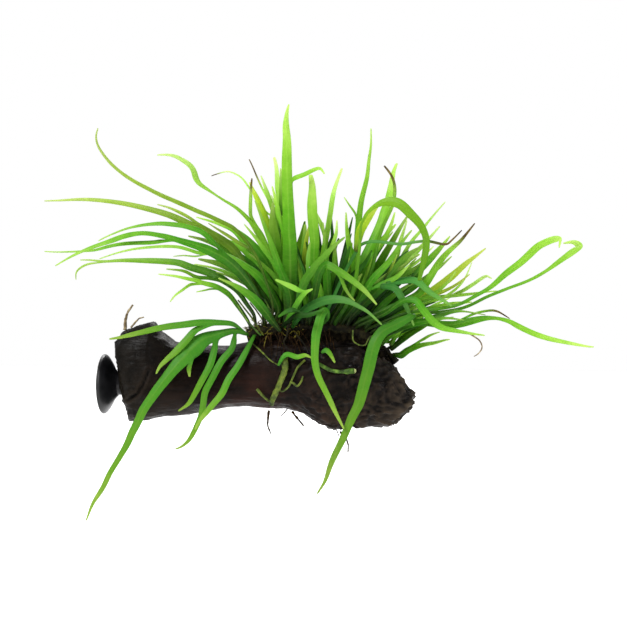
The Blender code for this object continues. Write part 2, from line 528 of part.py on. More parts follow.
def wood_front(x, z):
    """Depth of the wood's front surface at x and z, or None above and below the wood."""
    middle, above, below, half = wood_section(x)
    share = (z - middle) / (above if z > middle else below)
    return None if abs(share) >= 1 else -half * bulge(share)


def make_driftwood(group, cutters):
    bm = bmesh.new()
    bmesh.ops.create_cone(bm, cap_ends=True, segments=WOOD_SIDES, radius1=1, radius2=1, depth=1)
    first, last = WOOD[0][0], WOOD[-1][0]
    rings = round((last - first) / WOOD_STEP)
    lengthwise = [e for e in bm.edges if abs(e.verts[0].co.z - e.verts[1].co.z) > 0.5]
    bmesh.ops.subdivide_edges(bm, edges=lengthwise, cuts=rings - 1)
    for vert in bm.verts:
        x = first + (vert.co.z + 0.5) * (last - first)
        angle = np.arctan2(vert.co.y, vert.co.x)
        x, y, z = wood_point(x, angle)
        near_end = max(0.0, 1 - (x - first) / END_REACH)
        vert.co = seen_at(x - END_SLANT * near_end * z, z, y * near_end)
        vert.co.y = y
    bmesh.ops.triangulate(bm, faces=[f for f in bm.faces if len(f.verts) > 4])
    bmesh.ops.recalc_face_normals(bm, faces=bm.faces)
    wood = add_piece("driftwood", mesh_from(bm, "driftwood"), "dark_driftwood", group)
    bm = bmesh.new()
    bmesh.ops.create_cone(bm, cap_ends=True, segments=CUP_SIDES, radius1=NECK_RADIUS + BORE_GAP,
                          radius2=NECK_RADIUS + BORE_GAP, depth=2 * NECK_END)
    bmesh.ops.rotate(bm, cent=(0, 0, 0), matrix=Vector((0, 0, 1)).rotation_difference(
        Vector((1, 0, 0))).to_matrix(), verts=bm.verts)
    bmesh.ops.translate(bm, vec=(BORE_GAP, 0, 0), verts=bm.verts)
    bore = bpy.data.objects.new("neck_bore", mesh_from(bm, "neck_bore"))
    bore.display_type, bore.hide_render = "WIRE", True
    cutters.objects.link(bore)
    cut = wood.modifiers.new("bore", "BOOLEAN")
    cut.object = bore


# Suction cup

def make_cup(group):
    """The cup is a profile turned about X, from the hollow's centre out to the neck's end."""
    hollow = [(CUP_HOLLOW * (1 - (r / (CUP_RADIUS - CUP_RIM_WIDTH)) ** 2), r)
              for r in np.linspace(0, CUP_RADIUS - CUP_RIM_WIDTH, 5)]
    rim = [(0, CUP_RADIUS - 0.3), (0.3, CUP_RADIUS), (CUP_LIP, CUP_RADIUS)]
    neck = [(NECK_END - 0.8, NECK_RADIUS), (NECK_END, NECK_RADIUS - 0.8), (NECK_END, 0)]
    bm = bmesh.new()
    outline = hollow + rim + list(CUP_BACK) + neck
    verts = [bm.verts.new((x, 0, r)) for x, r in outline]
    for a, b in zip(verts, verts[1:]):
        bm.edges.new((a, b))
    cup = add_piece("suction_cup", mesh_from(bm, "suction_cup"), "black_rubber", group)
    turn = cup.modifiers.new("turn", "SCREW")
    turn.axis = "X"
    turn.steps = turn.render_steps = CUP_SIDES
    turn.use_merge_vertices, turn.merge_threshold = True, 1e-6
    turn.use_normal_flip = True


# Stems, stalks and roots

def tube(name, path, radii, finish_name, group):
    """A closed round stem through the points of a path."""
    curve = bpy.data.curves.new(name, "CURVE")
    curve.dimensions, curve.use_fill_caps = "3D", True
    curve.bevel_depth, curve.bevel_resolution = MM, STEM_ROUNDNESS
    line = curve.splines.new("POLY")
    line.points.add(len(path) - 1)
    for point, co, radius in zip(line.points, path, radii):
        point.co = (*(Vector(co) * MM), 1)
        point.radius = radius
    add_piece(name, curve, finish_name, group)


def rhizome_axis(name):
    """Points of a creeping stem's axis, and its radius at each."""
    radius, route = RHIZOMES[name]
    axis = []
    for x, y, height in smooth_line(route, RHIZOME_STEP):
        middle, above, _, half = wood_section(x)
        top = middle + above * bulge(y / half)
        axis.append((*seen_at(x, top + height, 0).xz, y))
    axis = np.array(axis)[:, [0, 2, 1]]
    share = np.linspace(0, 1, len(axis))
    tip = np.maximum(0, share - 0.85) / 0.15
    swell = 0.85 + 0.12 * np.sin(share * RHIZOME_KNOBS) - 0.35 * tip
    return axis, radius * swell


def foot_of(name, x, degrees):
    """Where a frond's stalk leaves a creeping stem."""
    axis, radii = rhizome_axis(name)
    centre = np.array([x, *(np.interp(x, axis[:, 0], axis[:, k]) for k in (1, 2))])
    ahead = np.array([x + 1, *(np.interp(x + 1, axis[:, 0], axis[:, k]) for k in (1, 2))])
    along = (ahead - centre) / np.linalg.norm(ahead - centre)
    out = np.array([0, sin(radians(degrees)), cos(radians(degrees))])
    out -= along * out.dot(along)
    out /= np.linalg.norm(out)
    return centre + out * (np.interp(x, axis[:, 0], radii) + FOOT_GAP)


def in_front_of_wood(route, radius, gap=0.45):
    """Points along a route that lies on the front of the wood."""
    path = []
    for u, v in smooth_line(route, STEM_STEP):
        near = seen_at(u, v, -WOOD_HALF_DEPTH)
        face = wood_front(near.x, near.z) or -UNDERSIDE_DEPTH
        path.append(seen_at(u, v, face * LUMP_ALLOWANCE - radius - gap))
    return path


def make_stems(group):
    for name in RHIZOMES:
        axis, radii = rhizome_axis(name)
        tube(name, axis, radii, "rhizome", group)
    radius, route = FRONT_RHIZOME
    path = in_front_of_wood(route, radius)
    tube("rhizome_front", path, np.linspace(radius, 0.8 * radius, len(path)), "rhizome", group)
    radius, route = CUT_STUB
    path = in_front_of_wood(route, STUB_END_RADIUS)
    radii = [radius] * (len(path) - 2) + [STUB_END_RADIUS] * 2
    tube("cut_stub", path, radii, "rhizome", group)
    for number, (radius, route) in enumerate(DRY_STALKS, 1):
        path = [seen_at(u, v, -2 * number) for u, v in smooth_line(route, STEM_STEP)]
        tube(f"dry_stalk_{number}", path, np.linspace(radius, radius / 2, len(path)),
             "dry_stalk", group)
    for number, (radius, depth, route) in enumerate(ROOTS, 1):
        path = [seen_at(u, v, depth) for u, v in smooth_line(route, STEM_STEP)]
        tube(f"root_{number}", path, np.linspace(radius, radius / 2, len(path)), "root", group)


# Leaves

class Blade:
    """One blade's points in the picture, its depths, its widths and what it grows from."""

    def __init__(self, parent, widths, route, step, least):
        self.parent, self.widths = parent, widths
        self.fine, self.run = smooth_curve(route)
        self.at = np.linspace(0, self.run[-1], max(least, round(self.run[-1] / step)) + 1)
        self.sides = []

    def width_at(self, run):
        even = np.linspace(0, 1, len(self.widths))
        return np.interp(run / self.run[-1], even, self.widths)

    def leave_room(self, lobe):
        """Puts a station on each side of the place where a lobe grows."""
        near = int(np.argmin(np.linalg.norm(self.fine - lobe.fine[0], axis=1)))
        own = self.fine[min(near + 5, len(self.fine) - 1)] - self.fine[max(near - 5, 0)]
        away = lobe.fine[10] - lobe.fine[0]
        turn = abs(np.cross(own, away)) / np.linalg.norm(own) / np.linalg.norm(away)
        half = lobe.widths[0] / 2 / max(turn, 0.4)
        middle = np.clip(self.run[near], half + 1, self.run[-1] - half - 1)
        self.sides += [middle - half, middle + half]
        clear = abs(self.at - middle) > half + 0.3 * (self.at[1] - self.at[0])
        clear[[0, -1]] = True
        self.at = self.at[clear]
        # The lobe's own stations start where its sheet is clear of this one.
        spots = along_curve(lobe.fine, lobe.run, lobe.at)
        ways = np.linalg.norm(spots[:, None] - self.fine[None], axis=2)
        widths = self.width_at(self.run[ways.argmin(axis=1)]) + 0.6 * lobe.width_at(lobe.at)
        free = ways.min(axis=1) > widths / 2
        free[0] = free[-2:] = True
        lobe.at = lobe.at[free]
        return middle

    def settle(self):
        """Works out the stations' places and widths."""
        self.at = np.sort(np.append(self.at, self.sides))
        self.line = along_curve(self.fine, self.run, self.at)
        self.share = self.at / self.run[-1]
        self.width = self.width_at(self.at)

    def depth_at_joint(self, stem):
        return stem.depth[self.joint:self.joint + 2].mean()


def blades_of(spec, start, depths, step):
    """The blades of a frond that starts at a point, or at its first route point if None."""
    blades = []
    for parent, _, widths, route in spec:
        if parent is None and start is not None:
            route = (picture_of(start), *route)
        blades.append(Blade(parent, widths, route, step, 4 if parent is None else 3))
    middles = [None if blade.parent is None else blades[blade.parent].leave_room(blade)
               for blade in blades]
    for blade, middle, (_, lean, _, _) in zip(blades, middles, spec):
        blade.settle()
        if middle is None:
            begin = depths[0] if start is None else start[1]
            knots = np.linspace(0, 1, len(depths) + 1)
            bend = smooth_line(np.stack([knots, (begin, *depths)], axis=1), 0.05, 24)
            blade.depth = np.interp(blade.share, bend[:, 0], bend[:, 1])
        else:
            stem = blades[blade.parent]
            blade.joint = int(np.searchsorted(stem.at, middle)) - 1
            blade.depth = blade.depth_at_joint(stem) + lean * blade.share
    return blades


def keep_apart(fronds):
    """Moves blades in depth, where they cross in the picture, until none touches another."""
    flat = [blade for frond in fronds for blade in frond]
    sizes = [len(blade.line) for blade in flat]
    ends = np.cumsum([0] + sizes)
    owner = np.repeat([f for f, frond in enumerate(fronds) for _ in frond], sizes)
    number = np.repeat(np.arange(len(flat)), sizes)
    station = np.concatenate([np.arange(size) for size in sizes])
    spot = np.concatenate([blade.line for blade in flat])
    width = np.concatenate([blade.width for blade in flat])
    depth = np.concatenate([blade.depth for blade in flat])
    apart = np.linalg.norm(spot[:, None] - spot[None], axis=2)
    reach = (width[:, None] + width[None]) / 2 + LEAF_STEP * 0.5
    first, second = np.nonzero(np.triu((apart < reach) & (owner[:, None] != owner[None])))
    need = LEAF_CLEARANCE + LEAF_TILT * (width[first] + width[second]) / 2
    need = need * np.clip(1.5 - apart[first, second] / reach[first, second], 0.3, 1)
    # Two blades keep to one side of each other all the way, except beside their feet.
    pair = number[first] * len(flat) + number[second]
    gap = depth[first] - depth[second]
    side = np.where(np.bincount(pair, weights=gap)[pair] < 0, -1, 1)
    at_foot = np.minimum(station[first], station[second]) < 1
    side = np.where(at_foot & (gap != 0), np.sign(gap), side)
    rest = [blade.depth.copy() for blade in flat]
    for turn in range(ROUNDS):
        depth = np.concatenate([blade.depth for blade in flat])
        short = np.maximum(0, need - (depth[first] - depth[second]) * side) * side
        push = (np.bincount(first, weights=short / 2, minlength=len(depth))
                - np.bincount(second, weights=short / 2, minlength=len(depth)))
        count = (np.bincount(first, weights=short != 0, minlength=len(depth))
                 + np.bincount(second, weights=short != 0, minlength=len(depth)))
        push /= np.maximum(1, count)
        for blade, own, a, b in zip(flat, rest, ends, ends[1:]):
            spread = np.convolve(np.pad(push[a:b], 1, "edge"), (0.25, 0.5, 0.25), "valid")
            moved = blade.depth - own + spread * np.minimum(1, np.arange(b - a) / 1.5)
            even = (moved[:-2] + moved[2:]) / 2
            moved[1:-1] += (even - moved[1:-1]) * EVENNESS * (1 - turn / ROUNDS)
            blade.depth = own + moved * HOLD
        for frond in fronds:
            for blade in frond:
                if blade.parent is not None:
                    blade.depth += blade.depth_at_joint(frond[blade.parent]) - blade.depth[0]
        for blade in flat:
            if blade.hangs:
                limits = [wood_limit(u, v) for u, v in blade.line]
                blade.depth = np.minimum(blade.depth, limits)


def wood_limit(u, v):
    """The depth in front of which a hanging leaf stays clear of the wood."""
    near = seen_at(u, v, -HANGING_DEPTH)
    middle, above, below, half = wood_section(near.x)
    reach = (above if near.z > middle else below) + WOOD_CLEARANCE
    share = (near.z - middle) / reach
    if abs(share) >= 1 or not WOOD[0][0] < near.x < WOOD[-1][0]:
        return HANGING_DEPTH
    return -(half * LUMP_ALLOWANCE + WOOD_CLEARANCE) * bulge(share)


def grow(bm, edge, points, axes, widths):
    """Extrudes an edge through the stations of a blade and returns the edges made."""
    made = [edge]
    for point, axis, width in zip(points, axes, widths):
        old = sorted(edge.verts, key=lambda vert: axis.dot(vert.co))
        new = [g for g in bmesh.ops.extrude_edge_only(bm, edges=[edge])["geom"]
               if isinstance(g, bmesh.types.BMVert)]
        for side, vert in zip((-0.5, 0.5), old):
            twin = min(new, key=lambda v: (v.co - vert.co).length)
            new.remove(twin)
            twin.co = point + axis * side * width
        edge = next(e for e in twin.link_edges if len(e.link_faces) == 1
                    and not any(v in old for v in e.verts))
        made.append(edge)
    return made


def stations(blade, twist):
    """The points of a blade and, at each, the direction across it."""
    points = [seen_at(u, v, y) for (u, v), y in zip(blade.line, blade.depth)]
    across = []
    for k, point in enumerate(points):
        along = (points[min(k + 1, len(points) - 1)] - points[max(k - 1, 0)]).normalized()
        facing = (EYE - point).normalized() + Vector((0, 0, LEAF_TILT))
        axis = along.cross(facing).normalized()
        turn = radians(twist) * blade.share[k]
        axis = (axis * cos(turn) + along.cross(axis) * sin(turn)).normalized()
        across.append(-axis if across and axis.dot(across[-1]) < 0 else axis)
    ends = [across[0], *across, across[-1]]
    return points, [(a + b * 2 + c).normalized() for a, b, c in zip(ends, ends[1:], ends[2:])]


def leaf_sheet(blades, twist):
    """An open sheet of the blades of one frond."""
    bm = bmesh.new()
    for number, blade in enumerate(blades):
        points, across = stations(blade, twist)
        if blade.parent is None:
            half = across[0] * blade.width[0] / 2
            edge = bm.edges.new([bm.verts.new(points[0] - half), bm.verts.new(points[0] + half)])
        else:
            aim = points[1] - points[0]
            low, high = blades[blade.parent].sheet_edges[blade.joint:blade.joint + 2]
            sides = [e for v in low.verts for e in v.link_edges if e.other_vert(v) in high.verts]
            edge = max(sides, key=lambda e: (e.verts[0].co + e.verts[1].co).dot(aim))
        rungs = grow(bm, edge, points[1:], across[1:], blade.width[1:])
        blade.sheet_edges = rungs
    return bm


def make_leaf(name, blades, twist, finish_name, group):
    bm = leaf_sheet(blades, twist)
    bmesh.ops.recalc_face_normals(bm, faces=bm.faces)
    leaf = add_piece(name, mesh_from(bm, name), finish_name, group)
    wall = leaf.modifiers.new("thickness", "SOLIDIFY")
    wall.thickness, wall.offset = LEAF_THICKNESS * MM, 0


def make_leaves(group):
    names, twists, fronds = [], [], []
    for name, (stem, foot, depths, twist, spec) in FRONDS.items():
        start = foot_of(stem, *foot)
        blades = blades_of(spec, start, depths, LEAF_STEP)
        for blade in blades:
            blade.hangs = "hanging" in name
        names.append(name)
        twists.append(twist)
        fronds.append(blades)
    for name, (depth, twist, spec) in SMALL_LEAVES.items():
        blades = blades_of(spec, None, (depth, depth - 3), LEAF_STEP / 2)
        for blade in blades:
            blade.hangs = True
        names.append(name)
        twists.append(twist)
        fronds.append(blades)
    keep_apart(fronds)
    for name, blades, twist in zip(names, fronds, twists):
        shade = "young_leaf" if "small" in name or "hanging" in name else "fern_leaf"
        make_leaf(name, blades, twist, shade, group)


def main():
    clear_scene()
    group = collection("java_fern_on_driftwood")
    cutters = collection("cutters")
    make_driftwood(group, cutters)
    make_cup(group)
    make_stems(group)
    make_leaves(group)


main()
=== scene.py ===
"""Narrow-leaved java fern on driftwood with a suction cup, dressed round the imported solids.

The origin is the centre of the cup's rim, +X runs along the wood, +Z is up and -Y is the
front. Sizes are in millimetres, and MM turns them to metres as each mesh is made.
"""
import bmesh
import bpy
import json
import numpy as np
from math import atan2, cos, exp, hypot, pi, radians, sin
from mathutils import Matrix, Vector, noise

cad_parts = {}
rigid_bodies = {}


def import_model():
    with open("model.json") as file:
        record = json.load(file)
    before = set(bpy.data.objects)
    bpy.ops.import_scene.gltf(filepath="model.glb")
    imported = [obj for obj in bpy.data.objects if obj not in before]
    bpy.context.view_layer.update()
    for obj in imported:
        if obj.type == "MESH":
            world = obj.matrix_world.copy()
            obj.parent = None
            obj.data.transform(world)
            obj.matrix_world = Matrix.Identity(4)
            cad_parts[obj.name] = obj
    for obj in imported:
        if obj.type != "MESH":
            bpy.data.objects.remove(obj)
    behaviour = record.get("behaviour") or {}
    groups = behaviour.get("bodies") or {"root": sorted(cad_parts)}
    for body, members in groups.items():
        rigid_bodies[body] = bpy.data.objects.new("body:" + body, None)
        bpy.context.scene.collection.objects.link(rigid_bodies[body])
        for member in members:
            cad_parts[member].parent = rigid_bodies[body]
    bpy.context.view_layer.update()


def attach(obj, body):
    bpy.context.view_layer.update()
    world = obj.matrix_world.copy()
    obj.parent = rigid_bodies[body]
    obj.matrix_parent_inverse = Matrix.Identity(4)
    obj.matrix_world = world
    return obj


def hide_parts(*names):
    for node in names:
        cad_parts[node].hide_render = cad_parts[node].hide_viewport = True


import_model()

MM = 0.001

# Suction cup
CUP_RADIUS = 15.2
CUP_LIP = 0.8
CUP_HOLLOW = 2.6
CUP_RIM_WIDTH = 2.6
NECK_RADIUS = 5.5
CUP_BACK = ((1.6, 14.4), (3.4, 11.8), (5.2, 8.7), (6.5, 7.0), (7.4, 6.1), (8.1, 5.5))
NECK_END = 18.0

# Driftwood, as sections along its length: x, top, bottom, half its depth
WOOD = (
    (9.5, 22.0, -18.5, 15.5),
    (13.0, 26.0, -18.3, 17.0),
    (18.0, 28.5, -17.8, 17.5),
    (25.0, 31.5, -16.8, 17.5),
    (28.0, 26.5, -16.3, 17.0),
    (31.0, 24.3, -16.0, 16.5),
    (35.5, 21.0, -15.8, 16.0),
    (43.0, 19.5, -15.0, 15.5),
    (52.0, 19.0, -13.5, 15.0),
    (62.0, 19.0, -11.7, 14.5),
    (72.0, 21.0, -11.0, 14.5),
    (80.0, 23.0, -11.7, 15.0),
    (90.0, 23.5, -12.3, 15.5),
    (99.0, 23.5, -14.0, 16.0),
    (104.0, 23.5, -17.5, 16.5),
    (109.0, 23.5, -20.3, 17.0),
    (116.0, 23.5, -22.5, 17.0),
    (126.0, 22.5, -21.4, 16.5),
    (133.0, 18.5, -21.5, 16.0),
    (139.0, 14.0, -21.3, 15.5),
    (144.0, 10.5, -20.0, 14.5),
    (148.0, 3.5, -17.3, 13.0),
    (151.0, -0.5, -15.5, 11.0),
    (153.3, -3.0, -12.5, 8.0),
)
SIDE_ROUNDNESS = 0.85
CREST_HEIGHT = 22.0
END_SLANT = 0.19
END_REACH = 14.0
BORE_GAP = 0.3

# The front viewer's eye, along whose sight lines the picture positions below are read
EYE_TURN = radians(6)
EYE_RISE = radians(3)
EYE_REACH = 620.0
PLANT_MIDDLE = Vector((107.6, 0.0, 36.6))
MIDDLE_U, MIDDLE_V = 104.75, 35.25

# Creeping stems: points on the wood as (x, y, height above the wood), and the radius
RHIZOMES = {
    "rhizome_main": (3.6, ((73, -5, 3.6), (80, -3, 4.2), (90, -4, 4.6), (101, -3, 4.4),
                           (112, -4, 4.4), (123, -3, 4.2), (132, -4, 4.2), (138, -2, 3.8))),
    "rhizome_back": (3.0, ((88, 7, 3.4), (98, 8.5, 3.6), (110, 8, 3.8), (122, 8.5, 3.6),
                           (133, 8, 3.6), (140, 7, 3.5), (145.8, 5.5, 3.5))),
}
RHIZOME_STEP = 4.0
RHIZOME_KNOBS = 40
FOOT_GAP = 0.35

# Stems: radius, depth unless they lie on the wood's front, and route in picture positions
FRONT_RHIZOME = (1.6, ((90, 14), (90.5, 8), (88.5, 2), (86.5, -3), (84.5, -7.5), (83.5, -10)))
CUT_STUB = (0.9, ((107.5, 10), (111, 8), (114.5, 6.5), (120, 6.2), (125, 6.5)))
STUB_END_RADIUS = 1.35
DRY_STALKS = (
    (0.9, -2.0, ((10.5, 27), (10.8, 32), (12, 36), (14.5, 39.5))),
    (0.55, -4.0, ((13.5, 28.2), (15.5, 30.6), (17.5, 32.6), (20, 33.4))),
)
ROOTS = (
    (0.7, -6.0, ((82.5, -13.2), (82, -17), (82, -21), (83.5, -25))),
    (0.7, -2.0, ((94, -13.6), (96.5, -17), (100, -21))),
    (0.6, 2.0, ((118, -23.8), (120.5, -26.5), (122, -30), (122, -34))),
)
STEM_STEP = 3.2
LUMP_ALLOWANCE = 1.07
WOOD_HALF_DEPTH = 16.0
UNDERSIDE_DEPTH = 6.0

# Leaves
LEAF_STEP = 8.5
BEND_LENGTH = 5.0
LEAF_TILT = 0.42
WOOD_CLEARANCE = 3.1
LEAF_CLEARANCE = 1.7
HANGING_DEPTH = 20.0
ROUNDS = 200
EVENNESS = 0.5
HOLD = 0.995

